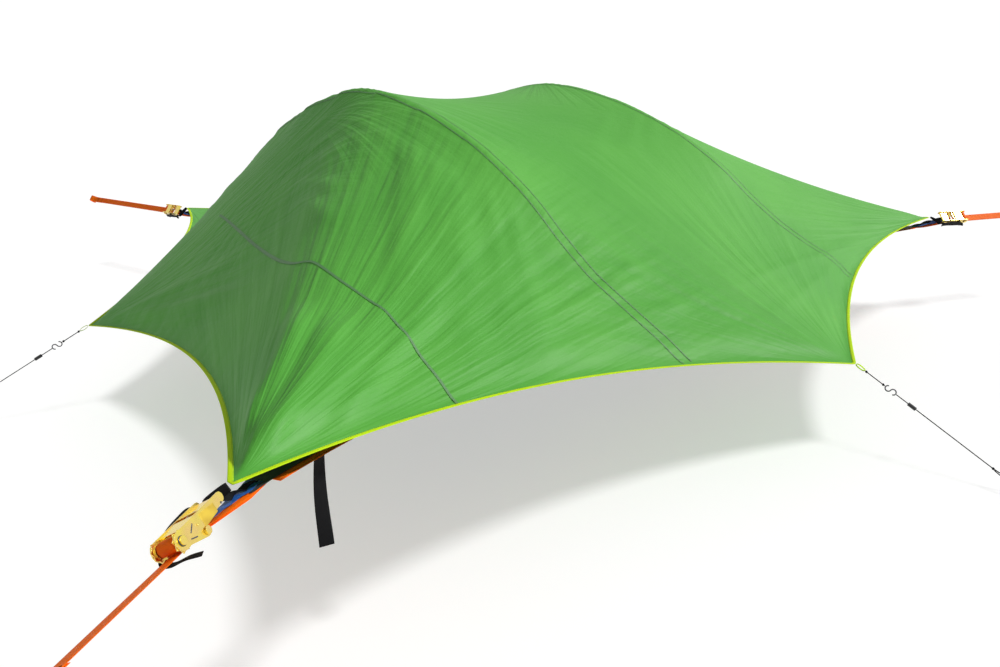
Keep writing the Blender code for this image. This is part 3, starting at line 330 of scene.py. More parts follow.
# %% [markdown]
# The tent is a triangle of webbing with two hoops over it and a six-cornered flysheet. Its lines could
# be measured off the CAD meshes, but the sizes that made them give cleaner curves. Angles run from +X,
# the front edge faces -Y, and all lengths are in metres.

# %% Plan of the tent
FLOOR_SIDE = 4.1
CORNER_R = FLOOR_SIDE / math.sqrt(3)
# Each corner: its angle, its ratchet's roll, the rise of its pull, and how far out its strap reaches
CORNERS = {
    "front_left": (210, 29, 0.010, 0.66),
    "front_right": (330, 50, 0.026, 0.62),
    "rear": (90, -55, 0.012, 1.20),
}
# Each guy: its angle, and how far it draws the hem down
GUYS = {"left": (150, 0.120), "front": (270, 0.148), "right": (30, 0.120)}
# Each floor edge: the corners it runs between
EDGES = {
    "front": ("front_left", "front_right"),
    "right": ("front_right", "rear"),
    "left": ("rear", "front_left"),
}
GUY_R, FLY_RISE = 1.593, 0.045
FLOOR_HOLLOW, HEM_HOLLOW, HEM_LIFT, HEM_POINTS = 0.18, 0.15, 0.045, 110
WEB_W, WEB_T = 0.035, 0.0022
WEB_TOP = 0.00275
CENTRE = Vector((0.0, 0.25, 0.0))


def polar(angle, radius, z=0.0):
    return Vector((radius * math.cos(math.radians(angle)), radius * math.sin(math.radians(angle)), z))


def edge_point(edge, share, outward=0.0, z=0.0):
    """A point on a floor edge, which the pull of the cloth draws hollow."""
    a, b = (polar(CORNERS[c][0], CORNER_R) for c in EDGES[edge])
    inward = -((a + b) / 2).normalized()
    hollow = FLOOR_HOLLOW * (1 - (2 * share - 1) ** 4)
    return a + (b - a) * share + inward * (hollow - outward) + Vector((0, 0, z))


def hem_points(per_side):
    """The flysheet's edge, corner to corner, anticlockwise."""
    corners = [(angle, CORNER_R, FLY_RISE) for angle, *_ in CORNERS.values()]
    corners += [(angle, GUY_R, -drop) for angle, drop in GUYS.values()]
    corners.sort()
    found = []
    for a, b in zip(corners, corners[1:] + corners[:1]):
        p, q = polar(*a), polar(*b)
        run = q - p
        inward = Vector((-run.y, run.x, 0)).normalized()
        for i in range(per_side):
            t = i / per_side
            bow = 4 * t * (1 - t)
            found.append(p + run * t + inward * HEM_HOLLOW * bow + Vector((0, 0, HEM_LIFT * bow)))
    return np.array(found)


hem = hem_points(HEM_POINTS)
print(len(hem), "points round the hem")

# %% Hoops
# Each pole: where its front foot stands on the front edge, and its rear foot on its side's edge
FOOT_SHARES = {"left": (0.341, 0.295), "right": (0.659, 0.705)}
FOOT_OUT, FOOT_Z, CREST_Z = 0.010, 0.03305, 0.722
HOOP_POWER, HOOP_STEPS = 1.25, 120


def hoop(side):
    """Centre line of one pole, from its front foot to its rear foot."""
    front_share, rear_share = FOOT_SHARES[side]
    front, rear = edge_point("front", front_share, FOOT_OUT), edge_point(side, rear_share, FOOT_OUT)
    found = []
    for i in range(HOOP_STEPS + 1):
        turn = math.pi * i / HOOP_STEPS
        along = abs(math.cos(turn)) ** HOOP_POWER * (1 if turn < math.pi / 2 else -1)
        lift = math.sin(turn) ** HOOP_POWER if 0 < i < HOOP_STEPS else 0.0
        p = front + (rear - front) * (0.5 - along / 2)
        found.append((p.x, p.y, FOOT_Z + (CREST_Z - FOOT_Z) * lift))
    return np.array(found)


HOOPS = {side: hoop(side) for side in FOOT_SHARES}
print(len(HOOPS), "hoops")

# %% [markdown]
# A flysheet is taut, so its shape follows a rule: each point hangs at the mean of its neighbours, unless
# something holds it up. Cloth simulation could find that shape, but it's slow and never quite still. A
# grid of heights is relaxed here instead. It rests on the poles, the canopy, the webbing and on the
# straight pulls to its corners.


# %% Distances in plan
def plan_distance(x, y, line):
    """Distance in plan from grid points to a polyline, with the line's height at the nearest spot."""
    best = np.full(x.shape, 9.0)
    height = np.zeros(x.shape)
    for a, b in zip(line[:-1], line[1:]):
        run = b[:2] - a[:2]
        t = np.clip(((x - a[0]) * run[0] + (y - a[1]) * run[1]) / max(run @ run, 1e-12), 0, 1)
        d = np.hypot(x - a[0] - run[0] * t, y - a[1] - run[1] * t)
        near = d < best
        best[near] = d[near]
        height[near] = (a[2] + (b[2] - a[2]) * t)[near]
    return best, height


def inside(x, y, loop):
    """Which grid points lie within a closed loop in plan."""
    found = np.zeros(x.shape, bool)
    for (x0, y0), (x1, y1) in zip(loop[:, :2], np.roll(loop, -1, axis=0)[:, :2]):
        if y0 != y1:
            found ^= ((y0 > y) != (y1 > y)) & (x < (x1 - x0) * (y - y0) / (y1 - y0) + x0)
    return found


def sample(grid, x, y):
    """Grid heights between the grid's points."""
    xs, ys, z = grid
    u = np.clip((x - xs[0]) / (xs[1] - xs[0]), 0, len(xs) - 1.001)
    v = np.clip((y - ys[0]) / (ys[1] - ys[0]), 0, len(ys) - 1.001)
    i, j = u.astype(int), v.astype(int)
    u, v = u - i, v - j
    near, far = z[i, j] * (1 - u) + z[i + 1, j] * u, z[i, j + 1] * (1 - u) + z[i + 1, j + 1] * u
    return near * (1 - v) + far * v


print("the tent's middle is inside the hem:", bool(inside(np.zeros(1), np.zeros(1), hem)[0]))

# %% What the film rests on
OVER_POLE, OVER_CANOPY, OVER_FLOOR = 0.0114, 0.017, 0.00875
POLE_EASE, PULL_SAG, POLE_REACH_SHARE = 0.002, 0.055, 0.71
NOWHERE = -9.0
DOWN = Vector((0, 0, -1))
# The side corners that pull the film straight up to their hoop: hoop, angle, radius, rise
PULLS = [(side, CORNERS["front_" + side][0], CORNER_R, FLY_RISE) for side in HOOPS]
PULLS += [(side, GUYS[side][0], GUY_R, -GUYS[side][1]) for side in HOOPS]


def pulls(x, y):
    """Height of the straight pulls from the four side corners up to their hoop."""
    best = np.full(x.shape, NOWHERE)
    for side, angle, radius, rise in PULLS:
        corner, line = polar(angle, radius), HOOPS[side]
        run = line[-1, :2] - line[0, :2]
        start = line[0, :2] - np.array(corner.xy)
        rx, ry = x - corner.x, y - corner.y
        cross = rx * run[1] - ry * run[0]
        cross = np.where(np.abs(cross) < 1e-7, 1e-7, cross)
        beyond = (start[0] * run[1] - start[1] * run[0]) / cross
        along = (start[0] * ry - start[1] * rx) / cross
        good = (beyond > 1) & (along > 0) & (along < 1)
        pole = np.interp(line[0, 1] + run[1] * along, line[:, 1], line[:, 2]) + OVER_POLE
        t = 1 / np.where(good, beyond, 1.0)
        height = rise + (pole - rise) * t - PULL_SAG * 4 * t * (1 - t)
        best = np.maximum(best, np.where(good, height, NOWHERE))
    return best


def cloth_tree(node):
    """A CAD cloth node's surface, ready for rays."""
    cloth = nodes[node].data
    return BVHTree.FromPolygons([v.co for v in cloth.vertices], [p.vertices for p in cloth.polygons])


covers = [cloth_tree("mesh_canopy"), cloth_tree("door_panel")]
LOOP_START_SHARE, LOOP_OUT, LOOP_POINTS = 0.0366, 0.040, 20
loop_shares = np.linspace(LOOP_START_SHARE, 1 - LOOP_START_SHARE, LOOP_POINTS)
floor_loop = np.array([edge_point(edge, share, LOOP_OUT)[:2] for edge in EDGES for share in loop_shares])


def supports(x, y, step):
    """The lowest height that the film can take at each grid point."""
    over_floor = inside(x, y, floor_loop)
    lowest = np.where(over_floor, OVER_FLOOR, NOWHERE)
    for i, j in zip(*np.nonzero(over_floor)):
        for tree in covers:
            spot = tree.ray_cast(Vector((x[i, j], y[i, j], 2)), DOWN)[0]
            if spot:
                lowest[i, j] = max(lowest[i, j], spot.z + OVER_CANOPY)
    lowest = np.maximum(lowest, pulls(x, y))
    for line in HOOPS.values():
        d, h = plan_distance(x, y, line[::2])
        reached = d < step * POLE_REACH_SHARE
        lowest = np.where(reached, np.maximum(lowest, h + OVER_POLE + POLE_EASE), lowest)
    return lowest


print(len(PULLS), "pulls and", len(covers), "covers hold the film up")

# %% Stretched film
FILM_X, FILM_Y = (-2.16, 2.161), (-1.68, 2.4801)
OVERSHOOT = 1.85


def film(step, guess=None, rounds=400):
    """Heights on a square grid of the given step, relaxed from a coarser guess.

    Three parts of the pull run from hoop to hoop and one part along them."""
    xs, ys = np.arange(*FILM_X, step), np.arange(*FILM_Y, step)
    x, y = np.meshgrid(xs, ys, indexing="ij")
    rim, nearest = np.zeros(x.shape), np.full(x.shape, 9e9)
    for p in hem[::5]:
        d = (x - p[0]) ** 2 + (y - p[1]) ** 2
        closer = d < nearest
        nearest[closer], rim[closer] = d[closer], p[2]
    cloth, lowest = inside(x, y, hem), supports(x, y, step)
    z = rim.copy() if guess is None else sample(guess, x, y)
    z = np.where(cloth, np.maximum(z, lowest), rim)
    free = cloth.copy()
    free[0], free[-1], free[:, 0], free[:, -1] = False, False, False, False
    red = (np.add.outer(np.arange(len(xs)), np.arange(len(ys))) % 2) == 0
    for _ in range(rounds):
        for half in (red, ~red):
            pull = np.zeros_like(z)
            pull[1:-1, 1:-1] = (3 * (z[2:, 1:-1] + z[:-2, 1:-1]) + z[1:-1, 2:] + z[1:-1, :-2]) / 8
            new = np.maximum(z + OVERSHOOT * (pull - z), lowest)
            z = np.where(free & half, new, z)
    return xs, ys, z


smooth_film = film(0.08)
for step, rounds in ((0.04, 300), (0.02, 300)):
    smooth_film = film(step, smooth_film, rounds)
print("film crest", round(float(smooth_film[2].max()), 3), "m")

# %% [markdown]
# The broad folds are what the eye sees first, so they are real relief and not bump. They could be
# sculpted, but each is read from the photograph instead: a line between two pixels, laid on the film
# through the camera. A fan is a row of such folds between a near and a far line.

# %% Folds
# Each fan: near line's two pixels, far line's two pixels, count, width and height in metres
FANS = [
    ((238, 478), (262, 476), (300, 300), (395, 330), 9, 0.022, 0.0085),
    ((250, 470), (330, 445), (352, 290), (470, 260), 8, 0.030, 0.0095),
    ((233, 474), (240, 440), (262, 330), (330, 275), 6, 0.024, 0.0065),
    ((100, 321), (112, 318), (235, 245), (300, 285), 5, 0.028, 0.0100),
    ((110, 318), (125, 320), (210, 330), (262, 400), 4, 0.022, 0.0050),
    ((195, 215), (205, 222), (262, 170), (255, 245), 5, 0.024, 0.0065),
    ((285, 150), (292, 210), (345, 105), (352, 270), 6, 0.028, 0.0065),
    ((400, 135), (452, 160), (380, 330), (500, 330), 7, 0.036, 0.0090),
    ((455, 165), (515, 205), (450, 400), (560, 380), 6, 0.040, 0.0065),
    ((560, 235), (650, 325), (590, 218), (700, 312), 9, 0.013, 0.0050),
    ((905, 225), (885, 232), (700, 280), (760, 345), 6, 0.022, 0.0060),
    ((845, 355), (825, 352), (640, 330), (700, 240), 6, 0.024, 0.0050),
    ((600, 110), (690, 130), (560, 150), (700, 160), 4, 0.026, 0.0040),
]
rng = np.random.default_rng(7)


def landing(px, py):
    """Where the camera's ray through a pixel meets the film."""
    ray = look + right * ((px - PHOTO_W / 2) / LENS_PX) - up * ((py - PHOTO_H / 2) / LENS_PX)
    t = np.arange(0.6, 8.0, 0.004)
    x, y, z = (EYE[k] + ray[k] * t for k in range(3))
    within, over_film = inside(x, y, hem), z - sample(smooth_film, x, y)
    under = within & (over_film < 0)
    hit = int(np.argmax(under)) if under.any() else int(np.argmin(np.where(within, over_film, 9.0)))
    return np.array((x[hit], y[hit]))


def fold_lift(x, y):
    """How far the folds lift the cloth at points in plan. Each fold varies a little, by fixed chance."""
    lift = np.zeros(x.shape)
    for near_a, near_b, far_a, far_b, count, width, depth in FANS:
        ends = [landing(*p) for p in (near_a, near_b, far_a, far_b)]
        for k in range(count):
            s = (k + rng.uniform(0.2, 0.8)) / count
            a = ends[0] + (ends[1] - ends[0]) * s
            b = ends[2] + (ends[3] - ends[2]) * np.clip(s + rng.uniform(-0.06, 0.06), 0, 1)
            b = a + (b - a) * rng.uniform(0.75, 1.0)
            run = b - a
            t = ((x - a[0]) * run[0] + (y - a[1]) * run[1]) / (run @ run)
            off = ((x - a[0]) * run[1] - (y - a[1]) * run[0]) / math.hypot(*run)
            broad = width * (0.55 + 0.9 * np.clip(t, 0, 1)) * rng.uniform(0.7, 1.2)
            body = np.clip(np.minimum(t + 0.06, 1.06 - t) / 0.30, 0, 1)
            body = body * body * (3 - 2 * body)
            tall = depth * rng.uniform(0.6, 1.2) * (1 if k % 2 else 0.6)
            lift += tall * body * np.exp(-((off / broad) ** 2))
    return lift


print(sum(fan[4] for fan in FANS), "folds")

# %% Folded surface
FLY_ROWS, ROW_POWER = 121, 0.92
FLAT_RIM_SHARE = 0.94
CREASE_R, CREASE_H = 0.012, 0.002
outwards = np.linspace(0, 1, FLY_ROWS) ** ROW_POWER
centre = np.array(CENTRE)
plan = centre[None, None, :2] + outwards[:, None, None] * (hem[None, :, :2] - centre[None, None, :2])
near_rim = np.clip((outwards - FLAT_RIM_SHARE) / (1 - FLAT_RIM_SHARE), 0, 1)[:, None]
height = sample(smooth_film, plan[..., 0], plan[..., 1]) * (1 - near_rim**3) + hem[None, :, 2] * near_rim**3
crease = np.zeros(height.shape)
for line in HOOPS.values():
    away, _ = plan_distance(plan[..., 0], plan[..., 1], line[::3])
    crease = np.maximum(crease, np.exp(-((away / CREASE_R) ** 2)))
lift = fold_lift(plan[..., 0], plan[..., 1]) * (1 - crease * 0.9)
surface = np.dstack([plan, height + lift * (1 - near_rim**2) + crease * CREASE_H])
print("highest fold", round(float(lift.max()) * 1000, 1), "mm")

# %% [markdown]
# Most pieces are meshes made of rows of points, and one helper turns rows into a piece. It carries UV in
# metres for the weave, rides on a body of the part, and stands for the CAD nodes that it takes the place
# of. Tapes and cords could both be curves with a bevel, but a tape has to keep its width in a chosen
# direction while it twists, so it is swept as a mesh.


# %% Mesh pieces
def placed(name, data, body="root", stands_for=()):
    """An object that rides on a body."""
    made = bpy.data.objects.new(name, data)
    bpy.context.scene.collection.objects.link(made)
    if body:
        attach(made, body)
    if stands_for:
        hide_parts(*stands_for)
    return made


def piece(name, points, faces, finish, body="root", stands_for=(), uv=None, smooth=True):
    """One mesh with one finish."""
    mesh = bpy.data.meshes.new(name)
    mesh.from_pydata([tuple(p) for p in points], [], [tuple(f) for f in faces])
    if uv is not None:
        layer = mesh.uv_layers.new(name="UV")
        loops = np.zeros(len(mesh.loops), int)
        mesh.loops.foreach_get("vertex_index", loops)
        layer.data.foreach_set("uv", np.array(uv, float)[loops].ravel())
    mesh.materials.append(FINISHES[finish])
    if smooth:
        mesh.shade_smooth()
    return placed(name, mesh, body, stands_for)


def rows_to_faces(rows, columns, closed=False, cyclic=False):
    """Quads between rows of points. closed joins each row's ends, cyclic the last row to the first."""
    found = []
    for r in range(rows if cyclic else rows - 1):
        n = (r + 1) % rows
        for c in range(columns if closed else columns - 1):
            m = (c + 1) % columns
            found.append((n * columns + c, n * columns + m, r * columns + m, r * columns + c))
    return found


def tube_faces(rows, columns, cyclic=False):
    """A closed tube: rings of points, with a cap at each end unless it closes on itself."""
    ends = tuple(range(columns)), tuple(range((rows - 1) * columns, rows * columns))[::-1]
    return rows_to_faces(rows, columns, True, cyclic) + ([] if cyclic else list(ends))


print("quads of two rows of three:", rows_to_faces(2, 3))


# %% Points along a route
def through(points, places):
    """Points on the smooth curve through the given ones; place 1.5 lies between the second and third."""
    ends = np.vstack([2 * points[0] - points[1], points, 2 * points[-1] - points[-2]])
    found = []
    for place in places:
        k = min(int(place), len(points) - 2)
        a, b, c, d = ends[k : k + 4]
        t = place - k
        square, cube = (2 * a - 5 * b + 4 * c - d) * t**2, (3 * b - 3 * c + d - a) * t**3
        found.append(0.5 * (2 * b + (c - a) * t + square + cube))
    return np.array(found)


def spaced(route, step, smooth=True):
    """Even points along a route and their distances; smooth rounds its bends."""
    points = np.array([tuple(p) for p in route], float)
    if smooth and len(points) > 2:
        points = through(points, np.arange(12 * (len(points) - 1) + 1) / 12)
    gaps = np.linalg.norm(np.diff(points, axis=0), axis=1)
    at = np.concatenate([[0], np.cumsum(gaps)])
    want = np.linspace(0, at[-1], max(int(at[-1] / step) + 1, 2))
    return np.column_stack([np.interp(want, at, points[:, k]) for k in range(3)]), want


def moved(points, matrix):
    return np.array([tuple(matrix @ Vector(p)) for p in points])


def turned(direction, matrix):
    return matrix.to_3x3() @ Vector(direction)


def across_neighbours(loop):
    """The step from each point's neighbour before it to the one after it, round a closed loop."""
    return np.roll(loop, -1, axis=0) - np.roll(loop, 1, axis=0)


def right_of(run):
    """Level unit vectors at right angles to runs, on their right in plan."""
    side = np.stack([run[..., 1], -run[..., 0], np.zeros(run.shape[:-1])], axis=-1)
    return side / np.linalg.norm(side, axis=-1, keepdims=True)


print(len(spaced([(0, 0, 0), (1, 0, 0)], 0.1, smooth=False)[0]), "points along 1 m in steps of 0.1 m")


# %% Tapes and cords
ACROSS_POINTS, SELVEDGE_POWER, SELVEDGE_SHARE = 9, 5, 0.02
WAVE_RATE = 70.0


def tape(name, points, sides, width, thick, finish, body="root", stands_for=(), cyclic=False, wave=0.0):
    """A flat tape swept along points with rounded selvedges; sides gives its width direction at each."""
    points, sides = np.asarray(points, float), np.asarray(sides, float)
    if sides.ndim == 1:
        sides = np.repeat(sides[None], len(points), axis=0)
    run = across_neighbours(points) if cyclic else np.gradient(points, axis=0)
    run /= np.linalg.norm(run, axis=1)[:, None]
    sides = sides - run * (sides * run).sum(1)[:, None]
    sides /= np.linalg.norm(sides, axis=1)[:, None]
    ups = np.cross(run, sides)
    along = np.concatenate([[0], np.cumsum(np.linalg.norm(np.diff(points, axis=0), axis=1))])
    u = np.sin(np.linspace(-1, 1, ACROSS_POINTS) * math.pi / 2)
    half = np.sqrt(np.clip(1 - np.abs(u) ** SELVEDGE_POWER, SELVEDGE_SHARE, 1)) * thick / 2
    across = np.concatenate([u, u[::-1][1:-1]])
    lift = np.concatenate([half, -half[::-1][1:-1]])
    ripple = wave * np.sin(along * WAVE_RATE)[:, None] * (across[None] ** 2)
    from_middle = across[None] * np.broadcast_to(np.asarray(width, float), len(points))[:, None] / 2
    verts = points[:, None] + sides[:, None] * from_middle[..., None]
    verts = verts + ups[:, None] * (lift[None] + ripple)[..., None]
    faces = tube_faces(len(points), len(across), cyclic)
    uv = np.dstack([from_middle, np.broadcast_to(along[:, None], verts.shape[:2])])
    return piece(name, verts.reshape(-1, 3), faces, finish, body, stands_for, uv.reshape(-1, 2))


def polyline(name, points, cyclic=False):
    """A curve of straight steps through points."""
    curve = bpy.data.curves.new(name, "CURVE")
    curve.dimensions = "3D"
    line = curve.splines.new("POLY")
    line.points.add(len(points) - 1)
    line.points.foreach_set("co", np.column_stack([points, np.ones(len(points))]).ravel())
    line.use_cyclic_u = cyclic
    return curve


def cord(name, points, radius, finish, body="root", stands_for=(), cyclic=False):
    """A round cord or rod as a bevelled curve."""
    curve = polyline(name, points, cyclic)
    curve.bevel_depth = radius
    curve.bevel_resolution = 4
    curve.use_fill_caps = not cyclic
    curve.materials.append(FINISHES[finish])
    return placed(name, curve, body, stands_for)


print("helpers for tapes and cords are ready")

# %% [markdown]
# The flysheet is one layer of cloth. A square grid would leave a ragged edge, so its mesh runs in rows
# from the middle to the hem, with the rows closer together near the hem and a fan of triangles in the
# middle. The seams are narrow strips dropped on it from above.

# %% Flysheet
columns = len(hem)
fly_points = surface[1:].reshape(-1, 3)
middle = len(fly_points)
crest = float(sample(smooth_film, centre[0], centre[1]))
fly_points = np.vstack([fly_points, [centre[0], centre[1], crest]])
fly_faces = rows_to_faces(FLY_ROWS - 1, columns, True)
fly_faces += [(middle, i, (i + 1) % columns) for i in range(columns)]
fly = piece("flysheet", fly_points, fly_faces, "fly_green", stands_for=["fly_sheet"])
print("flysheet", len(fly_faces), "faces")

# %% Seams
FLY_TREE = BVHTree.FromPolygons([Vector(v) for v in fly_points], fly_faces)
SEAM_LIFT, SEAM_STEP = 0.0012, 0.02
FACET_SEAM_W, RIDGE_SEAM_W, RIDGE_ASIDE = 0.008, 0.004, 0.020
SEAM_ACROSS = np.linspace(-0.5, 0.5, 5)
# Pixels of the photograph: the seam on the left facet, and where each ridge seam meets the front hem
LEFT_SEAM = [(220, 216), (256, 246), (287, 263), (312, 262), (341, 281), (383, 314), (425, 362), (457, 405)]
SEAM_ENDS = {"left": (686, 360), "right": (853, 282)}
# A ridge seam's places before its hoop, as shares of the way to the hem, and after it, in metres
BEFORE_HOOP, AFTER_HOOP = np.linspace(1.02, 0.08, 20), np.arange(0.04, 0.8, 0.04)


def on_fly(points):
    """Plan points set on the folded flysheet, where it lies below them."""
    found = []
    for p in points:
        spot, normal, _, _ = FLY_TREE.ray_cast(Vector((p[0], p[1], 2)), DOWN)
        if spot is not None:
            normal = normal if normal.z > 0 else -normal
            found.append(tuple(spot + normal * SEAM_LIFT))
    return found


def seam(name, flat, width):
    """A strip that follows a line in plan over the folded cloth."""
    flat, _ = spaced(np.column_stack([flat, np.zeros(len(flat))]), SEAM_STEP)
    rows = []
    for k, p in enumerate(flat):
        side = right_of(flat[min(k + 1, len(flat) - 1)] - flat[max(k - 1, 0)])
        row = on_fly([p + side * width * s for s in SEAM_ACROSS])
        if len(row) == len(SEAM_ACROSS):
            rows.append(row)
    uv = [(s * width, k * SEAM_STEP) for k in range(len(rows)) for s in SEAM_ACROSS]
    return piece(name, np.vstack(rows), rows_to_faces(len(rows), len(SEAM_ACROSS)), "seam_green", uv=uv)


seams = [seam("seam_left_facet", [landing(*p) for p in LEFT_SEAM], FACET_SEAM_W)]
for side, line in HOOPS.items():
    outer = landing(*SEAM_ENDS[side])
    run = line[-1, :2] - line[0, :2]
    unit, across = run / math.hypot(*run), right_of(run)[:2]
    whole = [line[1, :2] + (outer - line[1, :2]) * t for t in BEFORE_HOOP]
    whole += [p[:2] for p in line[1:-1:3]]
    whole += [line[-1, :2] + unit * t for t in AFTER_HOOP]
    for k, off in enumerate((-RIDGE_ASIDE, RIDGE_ASIDE)):
        flat = np.array(whole) + across * off
        flat = flat[inside(flat[:, 0], flat[:, 1], hem)]
        seams.append(seam(f"ridge_seam_{side}_{k}", flat, RIDGE_SEAM_W))
print(len(seams), "seams")

# %% Hem
RIM_STEP, BINDING_OUT, BINDING_W, BINDING_T = 0.012, 0.004, 0.012, 0.003
rim = spaced(np.vstack([hem, hem[:1]]), RIM_STEP, smooth=False)[0][:-1]
outward = right_of(across_neighbours(rim))
binding = tape("hem_binding", rim + outward * BINDING_OUT, outward, BINDING_W, BINDING_T, "tape_neon",
               stands_for=["fly_binding"], cyclic=True)
print(len(rim), "steps of binding round the hem")

# %% [markdown]
# Orange webbing carries the floor's three edges and runs on, doubled, round each ratchet's bolt. The
# first idea for such a strap is a flat box, but real webbing turns on itself between floor and ratchet.
# So each strap is a tape whose width direction turns from level to the ratchet's roll.


# %% Floor edges
EDGE_START_SHARE, EDGE_OUT, EDGE_STEPS = 0.02805, 0.0025, 160


def orange_tape(name, points, sides, *stands_for, body="root"):
    """A length of the orange webbing."""
    return tape(name, points, sides, WEB_W, WEB_T, "tape_orange", body, stands_for)


def edge_strap(edge):
    shares = np.linspace(EDGE_START_SHARE, 1 - EDGE_START_SHARE, EDGE_STEPS + 1)
    points = np.array([tuple(edge_point(edge, s, EDGE_OUT, WEB_TOP - WEB_T / 2)) for s in shares])
    sides = right_of(np.gradient(points, axis=0))
    orange_tape("floor_edge_" + edge, points, sides, "edge_strap_" + edge)


for edge in EDGES:
    edge_strap(edge)
print(len(EDGES), "floor edges")

# %% Corner loops and windings
BOLT_OUT, DRUM_OUT = 0.140, 0.212
BOLT_R, SLACK = 0.0045, 0.0003
SEWN_IN, LAYERS_APART, LEVEL_SHARE, BOLT_WRAP = 0.1147, 0.00165, 0.35, 1.3
DRUM_R, DRUM_GAP, TURNS, TURN_STEP, WOUND_STEPS = 0.0065, 0.0015, 2.4, 0.0028, 169
WOUND_R = DRUM_R + DRUM_GAP + TURNS * TURN_STEP
DRUM_RISE = WOUND_R + WEB_T / 2 + SLACK + WEB_T / 2


def corner_turn(name):
    """From the level frame of one corner, whose X points out to the tree."""
    return Matrix.Rotation(math.radians(CORNERS[name][0]), 4, "Z")


def corner_frame(name):
    """The same at the ratchet: out to the corner, raised, and rolled as the ratchet hangs."""
    _, roll, rise, _ = CORNERS[name]
    out = Matrix.Translation((CORNER_R, 0, rise))
    return corner_turn(name) @ out @ Matrix.Rotation(math.radians(roll), 4, "X")


def corner_loop(name):
    """Doubled webbing from the floor's corner round the ratchet's bolt, twisted to the ratchet's roll."""
    _, roll, rise, _ = CORNERS[name]
    flat = corner_turn(name)
    inner, eye, bolt = CORNER_R - SEWN_IN, BOLT_R + SLACK + WEB_T / 2, CORNER_R + BOLT_OUT
    run = bolt - 4 * eye - inner
    rows = [(inner + run * s, LAYERS_APART, max(0.0, (s - LEVEL_SHARE) / (1 - LEVEL_SHARE)))
            for s in np.linspace(0, 1, 30)]
    rows.append((bolt - eye, eye, 1.0))
    wrap = np.linspace(BOLT_WRAP, -BOLT_WRAP, 17)
    loop = rows + [(bolt + eye * math.cos(a), eye * math.sin(a), 1.0) for a in wrap]
    loop += [(x, -off, ease) for x, off, ease in rows[::-1]]
    points, sides = [], []
    for x, off, ease in loop:
        turn = math.radians(roll) * ease
        z = (WEB_TOP - WEB_T * 1.25) * (1 - ease) + rise * ease
        lift = Vector((0, -math.sin(turn), math.cos(turn))) * off
        points.append(tuple(flat @ (Vector((x, 0, z)) + lift)))
        sides.append(tuple(flat @ Vector((0, math.cos(turn), math.sin(turn)))))
    orange_tape("corner_webbing_" + name, points, sides, "corner_loop_" + name)


def winding(name):
    """The strap's turns on the drum, which ride on it."""
    drum = corner_frame(name) @ Matrix.Translation((DRUM_OUT, 0, DRUM_RISE))
    found = []
    for back in TURNS * (1 - np.arange(WOUND_STEPS + 1) / WOUND_STEPS):
        a, r = -math.pi / 2 - 2 * math.pi * back, WOUND_R - TURN_STEP * back
        found.append((r * math.cos(a), 0, r * math.sin(a)))
    side = tuple(turned((0, 1, 0), drum))
    orange_tape("winding_" + name, moved(found, drum), side, "drum_winding_" + name, body="drum_" + name)


for name in CORNERS:
    corner_loop(name)
    winding(name)
print(len(CORNERS), "corner loops and windings")

# %% [markdown]
# From each ratchet a taut strap runs to its tree and ends in a sewn eye. The tree isn't part of the
# model, so the strap stops there. The straight part is one tape, the eye another that folds back under
# it, and three bars of black thread hold the fold.

# %% Tree straps
EYE_R, EYE_TURN, EYE_STEP = 0.02, 2.44, 0.006
NECK_IN, UNDER_GAP, STRAP_STEP = 0.04, 0.0006, 0.01
BARS_BACK, BAR_HALF, BAR_R, BAR_UP = (0.040, 0.052, 0.095), 0.014, 0.0007, 0.0002
# Bends beside the eye, along the strap from its neck and up from it, and the fold's two ends
ABOVE_EYE, BELOW_EYE = ((-0.031, 0.0), (-0.014, 0.0036)), ((-0.014, -0.005),)
FOLD_START, FOLD_END = -0.032, -0.107


def tree_strap(name):
    """The taut strap to the tree, and the sewn eye at its end."""
    at = corner_frame(name)
    start, under, neck = DRUM_OUT - WEB_T * 2, WEB_T + UNDER_GAP, CORNERS[name][3] - NECK_IN
    side = tuple(turned((0, 1, 0), at))
    straight, length = spaced([(start, 0, 0), (neck + FOLD_START, 0, 0)], STRAP_STEP, smooth=False)
    path = moved(straight, at)
    strap = orange_tape("tree_webbing_" + name, path, side, "tree_strap_" + name)
    arc = np.linspace(EYE_TURN, -EYE_TURN, 19)
    bends = [*ABOVE_EYE, *((EYE_R + EYE_R * math.cos(a), EYE_R * math.sin(a)) for a in arc)]
    bends += [*BELOW_EYE, (FOLD_START, -under), (FOLD_END, -under)]
    eye, _ = spaced([(neck + x, 0, z) for x, z in bends], EYE_STEP)
    sewn = [orange_tape("tree_eye_" + name, moved(eye, at), side)]
    for k, back in enumerate(BARS_BACK):
        bar = [(neck - back, y, WEB_T / 2 + BAR_UP) for y in np.linspace(-BAR_HALF, BAR_HALF, 15)]
        sewn.append(cord(f"tree_stitch_{name}_{k}", moved(bar, at), BAR_R, "tape_black"))
    print(name, "tree strap", round(float(length[-1]), 3), "m")


for name in CORNERS:
    tree_strap(name)

# %% [markdown]
# The flysheet's own strap is black, leaves its corner and hooks under the ratchet's pull. It twists by
# three quarters of a turn on the way and flares into a wide flap, which the photograph shows. A smooth
# curve through a few bends gives the route, and a width for each point gives the flap.

